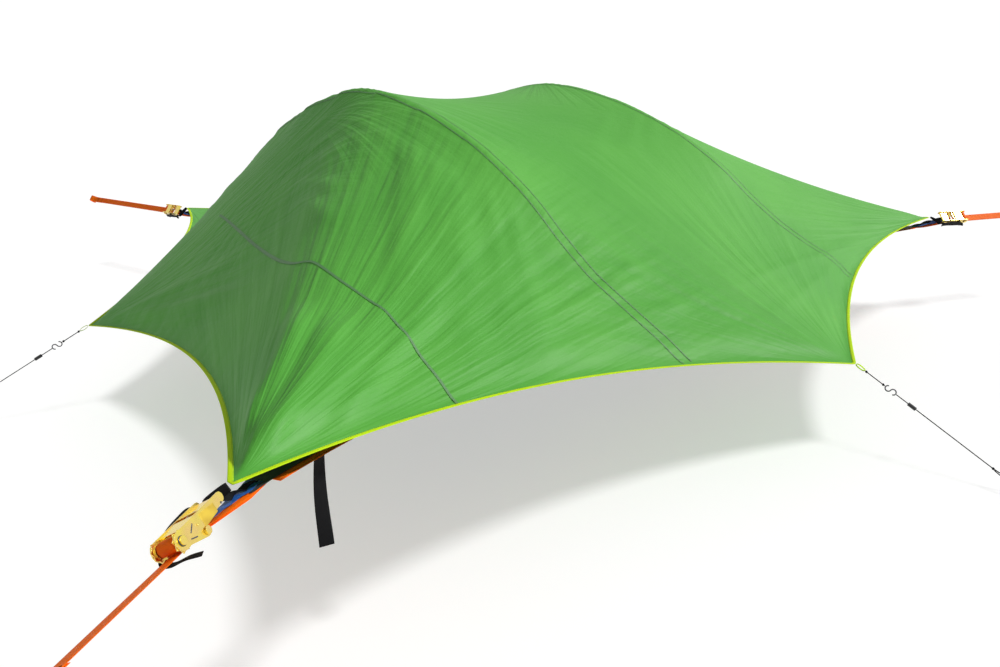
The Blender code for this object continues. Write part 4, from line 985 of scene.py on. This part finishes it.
# %% Flysheet straps
# Each bend after the corner: share of the drum's distance, share of the way aside, and how far it stands
# up from the pull and down under it
FLY_STRAP = (
    (0.23, 0.8, 1.3, 0.0), (0.31, 1.0, 1.0, 0.0), (0.5, 1.0, 0.9, 0.0), (0.85, 1.0, 0.5, 0.0),
    (0.95, 0.95, 0.0, 0.5), (0.97, 0.5, 0.0, 1.0), (0.96, -0.3, 0.0, 1.0), (0.92, -0.9, 0.0, 1.4),
)
STRAP_ASIDE, STRAP_UP, STRAP_DOWN = 0.038, 0.018, DRUM_RISE - 0.021 - 0.011
STRAP_TWIST, TWISTED_SHARE, TWIST_SHARE, TURN_SHARE, TURN_LONG = -270, 0.23, 0.25, 0.45, 0.22
FLAP_SHARE, FLAP_SPREAD, FLAP_UP = 0.37, 0.13, 0.006
STRAP_W, FLAP_W, STRAP_T = 0.022, 0.014, 0.0018


def strap_side(share, flat, at, off):
    """Width direction at a share of the strap: twisting, then upright, then level across the pull."""
    if share < TWIST_SHARE:
        twist = math.radians(STRAP_TWIST) * min(1.0, share / TWISTED_SHARE)
        upright = math.copysign(math.sin(twist), off)
        return turned((0, math.cos(twist), 0), flat) + turned((0, 0, upright), at)
    ease = min(1.0, max(0.0, (share - TURN_SHARE) / TURN_LONG))
    return turned((ease, 0, math.copysign(1 - ease, off)), at)


def fly_strap(name):
    """Black strap from the flysheet's corner, past the ratchet's far side and under the pull."""
    off = -math.copysign(STRAP_ASIDE, CORNERS[name][1])
    at, flat = corner_frame(name), corner_turn(name)
    route = [flat @ Vector((CORNER_R + 0.0153, 0, FLY_RISE))]
    for out, aside, above, below in FLY_STRAP:
        route.append(at @ Vector((DRUM_OUT * out, off * aside, STRAP_UP * above + STRAP_DOWN * below)))
    shares = np.arange(97) / 96
    points = through(np.array([tuple(p) for p in route]), shares * len(FLY_STRAP))
    sides = [tuple(strap_side(share, flat, at, off)) for share in shares]
    flap = np.exp(-(((shares - FLAP_SHARE) / FLAP_SPREAD) ** 4))
    points = points + np.array(turned((0, 0, FLAP_UP), at)) * flap[:, None]
    tape("fly_webbing_" + name, points, sides, STRAP_W + FLAP_W * flap, STRAP_T, "tape_black",
         stands_for=["fly_strap_" + name], wave=0.0004)


for name in CORNERS:
    fly_strap(name)
print(len(CORNERS), "flysheet straps")

# %% Corner ties and patches
# Bends of the black tie over the corner: along the pull, and up from it
CORNER_TIE = (
    (-0.095, 0.004), (-0.06, 0.007), (-0.02, 0.012), (0.02, 0.016), (0.055, 0.020), (0.083, 0.022),
)
TIE_ASIDE, TIE_STEP, TIE_W, TIE_T = -0.003, 0.004, 0.016, 0.0018
TIE_START, TIE_TWIST = 20, 500
PATCH_POINTS, PATCH_HALF, PATCH_ASIDE = 30, 0.10, -0.004
PATCH_WIDE, PATCH_NARROW, PATCH_T, PATCH_UP = 0.034, 0.020, 0.0008, 0.0045
PATCH_WAVE, PATCH_WAVE_RATE, PATCH_EASE = 0.0012, 19, 1.5


def corner_tie(name):
    """Twisted black tie over the corner, level at the floor and rolled at the ratchet."""
    flat, at = corner_turn(name), corner_frame(name)
    low, _ = spaced([flat @ Vector((CORNER_R + x, TIE_ASIDE, z)) for x, z in CORNER_TIE], TIE_STEP)
    high, _ = spaced([at @ Vector((x, TIE_ASIDE, z)) for x, z in CORNER_TIE], TIE_STEP)
    count = min(len(low), len(high))
    shares = np.linspace(0, 1, count)
    path = low[:count] * (1 - shares[:, None]) + high[:count] * shares[:, None]
    twists = np.radians(TIE_START + TIE_TWIST * shares)
    sides = [tuple(flat @ Vector((0, math.cos(twist), math.sin(twist)))) for twist in twists]
    tape("corner_tie_" + name, path, sides, TIE_W, TIE_T, "tape_black", wave=0.0005)


def corner_patch(name):
    """Blue patch that faces the floor's tongue, rolling with the webbing."""
    _, roll, rise, _ = CORNERS[name]
    flat = corner_turn(name)
    points, sides = [], []
    for share in np.linspace(0, 1, PATCH_POINTS):
        x, turn = PATCH_HALF * (2 * share - 1), math.radians(roll) * share**PATCH_EASE
        up = PATCH_UP + PATCH_WAVE * math.sin(share * PATCH_WAVE_RATE)
        lift = Vector((0, -math.sin(turn), math.cos(turn))) * up
        points.append(tuple(flat @ (Vector((CORNER_R + x, PATCH_ASIDE, rise * share)) + lift)))
        sides.append(tuple(flat @ Vector((0, math.cos(turn), math.sin(turn)))))
    width = np.linspace(PATCH_WIDE, PATCH_NARROW, PATCH_POINTS)
    tape("corner_patch_" + name, points, sides, width, PATCH_T, "patch_blue", wave=0.0006)


for name in CORNERS:
    corner_tie(name)
    corner_patch(name)
print(len(CORNERS), "ties and patches")

# %% [markdown]
# A ratchet's side plates carry pressed slots, a bend in the handle, rivets and the drum's washers, and a
# wire spring sits behind each pawl. They are too small for the CAD part. The slots and the hole at the
# handle's tip are dark inlays of painted shade, and the handle's bend is a darker zinc patch of painted
# shade. Each mark is a stack of outlines on the plate, closed at both ends. Places are in the ratchet's
# own frame: out to the tree, and up.

# %% Ratchet marks
PLATE_Y, SUNK = 0.0271, -0.0002
SLOT_R = 0.0012
# Each slot's two ends. The slot is a dark inlay of painted shade where the opening is shaded
SLOTS = (((0.1830, 0.0170), (0.1690, 0.0275)), ((0.1900, 0.0085), (0.1740, 0.0045)))
# Outline of the darker zinc patch over the handle's bend, which is painted shade of the angled face
BEND_SHADE_OUTLINE = ((0.0925, 0.0125), (0.1425, 0.0060), (0.1425, 0.0330), (0.0925, 0.0310))
# The second rivet is dark: painted shade of the hole at the handle's tip
RIVETS = ((0.1582, 0.0197, 0.0021, "zinc"), (0.0725, 0.0205, 0.0024, "dark_steel"))
WASHER_R, WASHER_Y, WASHER_WIRE = 0.0088, 0.0279, 0.0009


def circle(count, radius):
    angles = np.linspace(0, 2 * math.pi, count + 1)[:-1]
    return [(radius * math.cos(a), radius * math.sin(a)) for a in angles]


def on_plate(name, at, side, rings, finish, body, smooth=True):
    """A mark on a side plate: each ring is a height off the plate and an outline in (out, up)."""
    points = [(x, side * (PLATE_Y + height), z) for height, outline in rings for x, z in outline]
    faces = tube_faces(len(rings), len(rings[0][1]))
    if side < 0:
        faces = [f[::-1] for f in faces]
    piece(name, moved(points, at), faces, finish, body, smooth=smooth)


def pressed(name, at, side, outline, height, finish, body):
    """A thin marked area with a chamfered rim."""
    outline = np.array(outline)
    middle = outline.mean(axis=0)
    steps = ((1.0, SUNK), (0.98, height * 0.8), (0.9, height))
    rings = [(out, middle + (outline - middle) * shrink) for shrink, out in steps]
    on_plate(name, at, side, rings, finish, body, smooth=False)


def slot_outline(a, b):
    """A slot with round ends, from a to b."""
    a, b = np.array(a), np.array(b)
    along = (b - a) / np.linalg.norm(b - a) * SLOT_R
    wide = np.array((-along[1], along[0]))
    arc = [(math.cos(t), math.sin(t)) for t in np.linspace(-math.pi / 2, math.pi / 2, 7)]
    return [b + along * c + wide * d for c, d in arc] + [a - along * c - wide * d for c, d in arc]


def rivet(name, at, side, x, z, radius, finish, body):
    steps = ((1.0, SUNK), (1.0, 0.0006), (0.8, 0.0012), (0.4, 0.0015))
    rings = [(height, [(x + c, z + s) for c, s in circle(16, radius * share)]) for share, height in steps]
    on_plate(name, at, side, rings, finish, body)


def plate_marks(name):
    at, body = corner_frame(name), "handle_" + name
    for hand, side in (("near", 1), ("far", -1)):
        tail = f"{name}_{hand}"
        for k, ends in enumerate(SLOTS):
            # Painted shade: dark inlays in the slots
            pressed(f"ratchet_slot_shade_{tail}_{k}", at, side, slot_outline(*ends), 0.0003, "dark_steel", body)
        # Painted shade: a darker zinc patch where the handle bends
        pressed(f"ratchet_bend_shade_{tail}", at, side, BEND_SHADE_OUTLINE, 0.0004, "zinc_painted_shade", body)
        for k, (x, z, radius, finish) in enumerate(RIVETS):
            rivet(f"ratchet_rivet_{tail}_{k}", at, side, x, z, radius, finish, body)
        ring = [(DRUM_OUT + c, side * WASHER_Y, DRUM_RISE + s) for c, s in circle(48, WASHER_R)]
        cord(f"ratchet_washer_{tail}", moved(ring, at), WASHER_WIRE, "dark_steel", body, cyclic=True)


for name in CORNERS:
    plate_marks(name)
print(len(CORNERS) * 2, "marked plates")

# %% Pawl springs
WIRE_R, COIL_R, COIL_TURN, COIL_STEPS = 0.0004, 0.0026, 56, 161
# Each spring: where it starts and ends, and its height
SPRINGS = {"drive": (0.112, 0.1470, 0.0329), "lock": (0.151, 0.1672, 0.0112)}


def pawl_spring(name, at, x0, x1, z):
    """A wire coil between the carrier and a pawl."""
    points = []
    for t in np.linspace(0, 1, COIL_STEPS):
        out = np.array((0.0, math.cos(COIL_TURN * t), math.sin(COIL_TURN * t)))
        ring = [c * out + np.array((s, 0, 0)) for c, s in circle(6, WIRE_R)]
        points += [np.array((x0 + (x1 - x0) * t, 0, z)) + out * COIL_R + r for r in ring]
    made = piece(name, moved(points, at), tube_faces(COIL_STEPS, 6), "alloy", None)
    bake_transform(made)


for name in CORNERS:
    for part, (x0, x1, z) in SPRINGS.items():
        pawl_spring(f"{part}_spring_{name}", corner_frame(name), x0, x1, z)
print(len(CORNERS) * len(SPRINGS), "pawl springs")

# %% [markdown]
# Each guy is a short cord, an S-hook, a toggle and a long line that ends in a loop. The lines run taut
# out of view. A cord could be a swept mesh like the tapes, but a round one needs no width direction, so
# a bevelled curve will do. A knot is a tight coil of the same cord, thick enough to hide what is in it.

# %% Guys
GUY_OUT, GUY_SLOPE = 0.010, 29.5
CORD_R, KNOT_CORD_R = 0.0016, 0.0013
TAB_R, TAB_HALF_H, TAB_TURN, TAB_W, TAB_T = 0.017, 0.005, 2.88, 0.010, 0.0012
SHORT_RUN, LONG_RUN = (0.0348, 0.1115), (0.1545, 0.50)
SHORT_KNOTS = (0.0376, 0.1026)
# Bends of the loop at the line's far end: along the line, and aside
END_LOOP = (
    (0.50, 0), (0.544, 0.0088), (0.599, 0.011), (0.61, 0),
    (0.599, -0.011), (0.544, -0.0099), (0.5064, -0.0048),
)
KNOT_POINTS, KNOT_TURN, KNOT_TURN_POINTS = 25, 0.785, 8
# A knot's step along the line in each turn, and its radius
SHORT_KNOT, END_KNOT, END_KNOT_AT = (0.0016, 0.0029), (0.0018, 0.003), 0.499


def knot(name, at, start, step, radius):
    """Three turns of cord round the line, eight points a turn."""
    turns = []
    for i in range(KNOT_POINTS):
        a = i * KNOT_TURN
        turns.append((start + step * i / KNOT_TURN_POINTS, radius * math.cos(a), radius * math.sin(a)))
    return cord(name, moved(turns, at), KNOT_CORD_R, "cord_black")


def guy_frame(name):
    """One guy's line: X runs down along it from the hem's corner."""
    angle, drop = GUYS[name]
    place = Matrix.Translation(polar(angle, GUY_R + GUY_OUT, -drop))
    aim = Matrix.Rotation(math.radians(angle), 4, "Z") @ Matrix.Rotation(math.radians(GUY_SLOPE), 4, "Y")
    return place @ aim


def guy_tab(name, at):
    """The neon loop on the hem."""
    arc = np.linspace(TAB_TURN, -TAB_TURN, 33)
    loop = [(TAB_R + TAB_R * math.cos(a), 0, TAB_HALF_H * math.sin(a)) for a in arc]
    tape("guy_tab_" + name, moved(loop, at), tuple(turned((0, 1, 0), at)), TAB_W, TAB_T, "tape_neon")


def short_cord(name, at):
    """From the tab to the hook, with a knot at each end."""
    top, span = spaced([(x, 0, 0) for x in SHORT_RUN], 0.005, smooth=False)
    path = moved(top, at)
    made = cord("guy_short_" + name, path, CORD_R, "cord_black", stands_for=["guy_cord_top_" + name])
    for k, start in enumerate(SHORT_KNOTS):
        knot(f"guy_knot_{name}_{k}", at, start, *SHORT_KNOT)


def long_line(name, at):
    """From the hook through the toggle, and back on itself in a knotted loop."""
    straight, span = spaced([(x, 0, 0) for x in LONG_RUN], 0.01, smooth=False)
    end, bent = spaced([(x, y, 0) for x, y in END_LOOP], 0.003)
    path = moved(np.vstack([straight, end[1:]]), at)
    made = cord("guy_long_" + name, path, CORD_R, "cord_black", stands_for=["guy_line_" + name])
    end_knot = knot("guy_end_knot_" + name, at, END_KNOT_AT, *END_KNOT)


for name in GUYS:
    at = guy_frame(name)
    guy_tab(name, at)
    short_cord(name, at)
    long_line(name, at)

# %% [markdown]
# A length of black webbing hangs free under the front edge, near the left corner. Left alone, such a
# strap turns and sways a little, so its line is a shallow wave and its width turns by 35 degrees.

# %% Hanging strap
HANG_SHARE, HANG_HALF = 0.0635, 0.01
HANG_LONG, HANG_TWIST, HANG_SWAY, HANG_T, HANG_GAP = 0.22, -35, 4, 0.0016, 0.0008
beside = edge_point("front", HANG_SHARE + HANG_HALF) - edge_point("front", HANG_SHARE - HANG_HALF)
top = edge_point("front", HANG_SHARE) + Vector((0, 0, WEB_TOP - WEB_T - HANG_GAP))
turn = Matrix.Rotation(math.atan2(beside.y, beside.x), 4, "Z")
down_shares = np.linspace(0, 1, 45)
hang = [(0, WEB_T * 2 * math.sin(HANG_SWAY * s), -HANG_LONG * s) for s in down_shares]
twists = [Matrix.Rotation(math.radians(HANG_TWIST) * s, 4, "Z") for s in down_shares]
tape("hanging_webbing", moved(hang, Matrix.Translation(top) @ turn),
     [tuple(turn @ twist @ Vector((1, 0, 0))) for twist in twists], WEB_W, HANG_T, "tape_black",
     body="hanging_strap", stands_for=["hanging_strap"])
print("hanging strap", HANG_LONG, "m")

# %% [markdown]
# The flysheet hides most of the canopy, door, floor and hatch. They could be drawn again from nothing,
# but their CAD shapes already fit each other. So the upper side of each is copied as one layer of cloth,
# welded and divided once more, which rounds the canopy and leaves the flat ones flat.


# %% Canopy and floor
FACES_UP, HALF_CLOTH, WELD_GAP = 0.05, 0.0007, 0.00005


def skin(name, node, finish, body="root", rounded=False):
    """Copies a CAD cloth node's upper side as a single layer, half the cloth lower."""
    source = nodes[node].data
    keep = [p for p in source.polygons if p.normal.z > FACES_UP]
    used = sorted({i for p in keep for i in p.vertices})
    index = {old: new for new, old in enumerate(used)}
    points = [source.vertices[i].co - Vector((0, 0, HALF_CLOTH)) for i in used]
    made = piece(name, points, [[index[i] for i in p.vertices] for p in keep], finish, body, [node])
    weld = made.modifiers.new("weld", "WELD")
    weld.merge_threshold = WELD_GAP
    thin = made.modifiers.new("thin", "SUBSURF")
    thin.levels = thin.render_levels = 1
    thin.subdivision_type = "CATMULL_CLARK" if rounded else "SIMPLE"
    return made


canopy = skin("canopy_net", "mesh_canopy", "canopy_net", rounded=True)
door = skin("canopy_door", "door_panel", "canopy_net", rounded=True)
floor = skin("tent_floor", "floor_panel", "floor_grey")
hatch = skin("tent_hatch", "hatch_flap", "floor_grey", "hatch_flap")
skin("anti_roll_webbing", "anti_roll_web", "tape_black")
print("canopy", len(canopy.data.polygons), "faces before it is divided")

# %% [markdown]
# A row of stitches is one short thread at every step along a line, and a zip's coil is the same with
# thicker threads. Placing thousands by hand is out of the question, so a Geometry Nodes tree does it: it
# steps along the line, lays a thread at each point and turns it along the line.

# %% A tree for stitches
STITCH_INPUTS = {
    "Line": "Geometry", "Step": "Float", "Long": "Float", "Thick": "Float", "Finish": "Material",
}
STITCH_NODES = {
    "in": "NodeGroupInput", "out": "NodeGroupOutput",
    "even": "GeometryNodeResampleCurve", "run": "GeometryNodeInputTangent",
    "turn": "FunctionNodeAlignRotationToVector", "axis": "ShaderNodeCombineXYZ",
    "middle": "GeometryNodeCurvePrimitiveLine", "round": "GeometryNodeCurvePrimitiveCircle",
    "thread": "GeometryNodeCurveToMesh", "lay": "GeometryNodeInstanceOnPoints",
    "real": "GeometryNodeRealizeInstances", "paint": "GeometryNodeSetMaterial",
}
STITCH_LINKS = (
    ("in", "Line", "even", "Curve"), ("in", "Step", "even", "Length"), ("even", "Curve", "lay", "Points"),
    ("in", "Long", "axis", "Z"), ("axis", "Vector", "middle", "End"), ("in", "Thick", "round", "Radius"),
    ("middle", "Curve", "thread", "Curve"), ("round", "Curve", "thread", "Profile Curve"),
    ("thread", "Mesh", "lay", "Instance"), ("run", "Tangent", "turn", "Vector"),
    ("turn", "Rotation", "lay", "Rotation"), ("lay", "Instances", "real", "Geometry"),
    ("real", "Geometry", "paint", "Geometry"), ("in", "Finish", "paint", "Material"),
    ("paint", "Geometry", "out", "Geometry"),
)


def stitch_tree():
    """A node tree that lays short round pieces, turned along the line, at an even step."""
    group = bpy.data.node_groups.new("stitches", "GeometryNodeTree")
    for name, kind in STITCH_INPUTS.items():
        group.interface.new_socket(name, in_out="INPUT", socket_type="NodeSocket" + kind)
    group.interface.new_socket("Geometry", in_out="OUTPUT", socket_type="NodeSocketGeometry")
    made = {name: group.nodes.new(kind) for name, kind in STITCH_NODES.items()}
    made["even"].mode = "LENGTH"
    made["turn"].axis = "Z"
    made["round"].inputs["Resolution"].default_value = 6
    made["thread"].inputs["Fill Caps"].default_value = True
    for source, out, target, slot in STITCH_LINKS:
        group.links.new(made[source].outputs[out], made[target].inputs[slot])
    return group


STITCH_TREE = stitch_tree()


def stitches(name, points, step, long, thick, finish, body="root"):
    """Runs the tree along points and keeps its result as a plain mesh."""
    holder = bpy.data.objects.new(name + "_line", polyline(name + "_line", points))
    bpy.context.scene.collection.objects.link(holder)
    laid = holder.modifiers.new("stitches", "NODES")
    laid.node_group = STITCH_TREE
    given = {"Step": step, "Long": long, "Thick": thick, "Finish": FINISHES[finish]}
    for item in STITCH_TREE.interface.items_tree:
        if item.name in given:
            laid[item.identifier] = given[item.name]
    view = bpy.context.evaluated_depsgraph_get()
    mesh = bpy.data.meshes.new_from_object(holder.evaluated_get(view), depsgraph=view)
    bpy.data.objects.remove(holder)
    return placed(name, mesh, body)


print(len(STITCH_NODES), "nodes lay the stitches")

# %% Stitches
STITCH_STEP, THREAD_R, HEM_STITCH, EDGE_STITCH = 0.006, 0.00035, 0.0032, 0.0035
HEM_ROW_OUT, HEM_ROW_UP, EDGE_ROW_UP, EDGE_ROW_ASIDE = 0.0005, 0.0017, 0.0001, 0.013
EDGE_ROW_ENDS = 0.03, 0.97
hem_row = np.vstack([rim, rim[:1]]) + np.vstack([outward, outward[:1]]) * HEM_ROW_OUT
hem_row += np.array((0, 0, HEM_ROW_UP))
hem_stitches = stitches("hem_stitches", hem_row, STITCH_STEP, HEM_STITCH, THREAD_R, "seam_green")
sewn_faces = len(hem_stitches.data.polygons)
for edge in EDGES:
    for k, off in enumerate((-EDGE_ROW_ASIDE, EDGE_ROW_ASIDE)):
        shares = np.linspace(*EDGE_ROW_ENDS, EDGE_STEPS + 1)
        points = [edge_point(edge, share, EDGE_OUT + off, WEB_TOP + EDGE_ROW_UP) for share in shares]
        row = np.array([tuple(p) for p in points])
        sewn = stitches(f"edge_stitches_{edge}_{k}", row, STITCH_STEP, EDGE_STITCH, THREAD_R, "tape_black")
        sewn_faces += len(sewn.data.polygons)
print(sewn_faces, "stitch faces")

# %% Zips
ZIP_LIFT, ZIP_BEFORE, ZIP_AFTER = 0.0003, 0.02, 0.01
ZIP_W, ZIP_T, COIL_PITCH, COIL_LONG, COIL_THICK = 0.016, 0.0003, 0.0022, 0.0013, 0.0011


def zip_line(name, joint, cover):
    """Zip tape and coil along a slider's travel, laid on the cloth below it."""
    move = next(j for j in frame["joints"] if j["name"] == joint)
    slider, way = nodes[joint.replace("zip", "zip_slider")].data.vertices, Vector(move["axis"])
    start = sum((v.co for v in slider), Vector()) / len(slider)
    path, sides = [], []
    for t in np.linspace(-ZIP_BEFORE, move["range_m"][1] + ZIP_AFTER, 40):
        spot, normal = cover.find_nearest(start + way * t)[:2]
        normal = normal if normal.dot(start + way * t - spot) > 0 else -normal
        path.append(tuple(spot + normal * ZIP_LIFT))
        sides.append(tuple(normal.cross(way)))
    tape(name + "_tape", path, sides, ZIP_W, ZIP_T, "tape_black")
    stitches(name + "_coil", np.array(path), COIL_PITCH, COIL_LONG, COIL_THICK, "dark_steel")
    print(joint, "runs", round(move["range_m"][1], 3), "m")


zip_line("hatch_zip_line", "hatch_zip", cloth_tree("floor_panel"))
zip_line("door_zip_line", "door_zip", covers[0])

# %% [markdown]
# Hard parts keep their CAD shapes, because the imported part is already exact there. They only get their
# finish here, by the first words of their names.

# %% Hard parts
HARD_FINISHES = {
    "zinc": ("ratchet_", "drive_pawl", "lock_pawl", "anchor_bolt"),
    "alloy": ("hoop_pole",),
    "dark_steel": ("guy_hook", "hatch_zip", "door_zip"),
    "toggle_black": ("guy_runner",),
    "tape_black": ("pole_sleeve",),
}
for finish, starts in HARD_FINISHES.items():
    hard = [made for node, made in nodes.items() if node.startswith(starts)]
    for made in hard:
        made.data.materials.clear()
        made.data.materials.append(FINISHES[finish])
    print(finish, "on", len(hard), "parts")

# %% [markdown]
# The photograph's ground is a nearly white studio floor with one soft shadow. One sun could light both
# tent and floor, but then the shadow's place and the light on the cloth couldn't be set apart. So two
# suns shine on the tent alone and two on the floor alone, and an even white sky fills the rest.

# %% Stage
STAGE_Z, STAGE_HALF = -0.47, 60
stage = bpy.data.objects.new("stage_floor", bpy.data.meshes.new("stage_floor"))
stage_corners = [(x * STAGE_HALF, y * STAGE_HALF, STAGE_Z) for x, y in ((-1, -1), (1, -1), (1, 1), (-1, 1))]
stage.data.from_pydata(stage_corners, [], [(0, 1, 2, 3)])
bpy.context.scene.collection.objects.link(stage)
paper = Finish("paper", (0.93, 0.93, 0.93), 0.9)
paper.set("Base Color", (paper.noise(0.5, 2.0) * 0.2 + 0.8).colours((0.92, 0.92, 0.92), (0.95, 0.95, 0.95)))
seen_paper = paper.node("ShaderNodeLightPath", {}, "Is Camera Ray")
paper.set("Emission Color", seen_paper.colours((0, 0, 0), (0.14, 0.14, 0.14)))
paper.set("Emission Strength", 1.0)
stage.data.materials.append(paper.made)
print("stage at", STAGE_Z, "m")

# %% Sky
world = bpy.data.worlds.new("sky")
world.use_nodes = True
bpy.context.scene.world = world
sky = world.node_tree
background = sky.nodes["Background"]


def ray_is(kind):
    """1 for rays of one kind, 0 for others."""
    return add_node(sky, "ShaderNodeLightPath", {}, {}, f"Is {kind} Ray")


seen_sky = ray_is("Camera").math("MAXIMUM", ray_is("Transmission"))
fill(background.inputs["Strength"], seen_sky * 0.8 + 0.22 + ray_is("Glossy") * 0.5)
fill(background.inputs["Color"], (1, 1, 1, 1))
print("sky made")

# %% Suns
only_stage = bpy.data.collections.new("only_stage")
only_stage.objects.link(stage)
not_stage = bpy.data.collections.new("not_stage")
not_stage.objects.link(stage)
not_stage.collection_objects[0].light_linking.link_state = "EXCLUDE"


def sunlight(name, towards, energy, soft, falls_on, shadow=True):
    """A sun that shines along a direction, on the stage alone or on all but the stage."""
    made = bpy.data.objects.new(name, bpy.data.lights.new(name, "SUN"))
    made.data.energy = energy
    made.data.angle = math.radians(soft)
    made.data.use_shadow = shadow
    made.rotation_euler = Vector(towards).to_track_quat("-Z", "Y").to_euler()
    made.light_linking.receiver_collection = falls_on
    bpy.context.scene.collection.objects.link(made)
    print(name, "of strength", energy)


sunlight("key_sun", (-0.64, 0.47, -0.61), 3.4, 5, not_stage)
sunlight("top_sun", (0.25, 0.35, -1.0), 0.35, 20, not_stage)
sunlight("floor_sun", (0.25, 0.42, -1.0), 1.25, 13, only_stage)
sunlight("floor_fill", (0.0, 0.0, -1.0), 1.15, 10, only_stage, False)

# %% [markdown]
# The last step lists what is cloth. Each sheet gives the size of the cut that it was sewn from, how it is
# held, what it rests on and what moves with it, and its area is printed with its share of the cut.

# %% Sheets and the size
# Each sheet: its object, its flat size, how it is held, what it rests on and what moves with it
SHEETS = (
    (fly, (4.75, 4.30), "stretched", ["hoop_pole_left", "hoop_pole_right"],
     [binding, hem_stitches, *seams]),
    (canopy, (3.9, 3.7), "stretched", ["pole_sleeve_left", "pole_sleeve_right"], []),
    (floor, (FLOOR_SIDE, 3.55), "stretched", ["floor_edge_front"], []),
    (door, (0.92, 0.52), "stretched", ["canopy_net"], []),
    (hatch, (0.5, 0.5), "laid", ["anti_roll_webbing"], []),
)
for made, flat, held, rests, others in SHEETS:
    area = sum(p.area for p in made.data.polygons)
    print(made.name, "area", round(area, 2), "share of the cut", round(area / flat[0] / flat[1], 3))
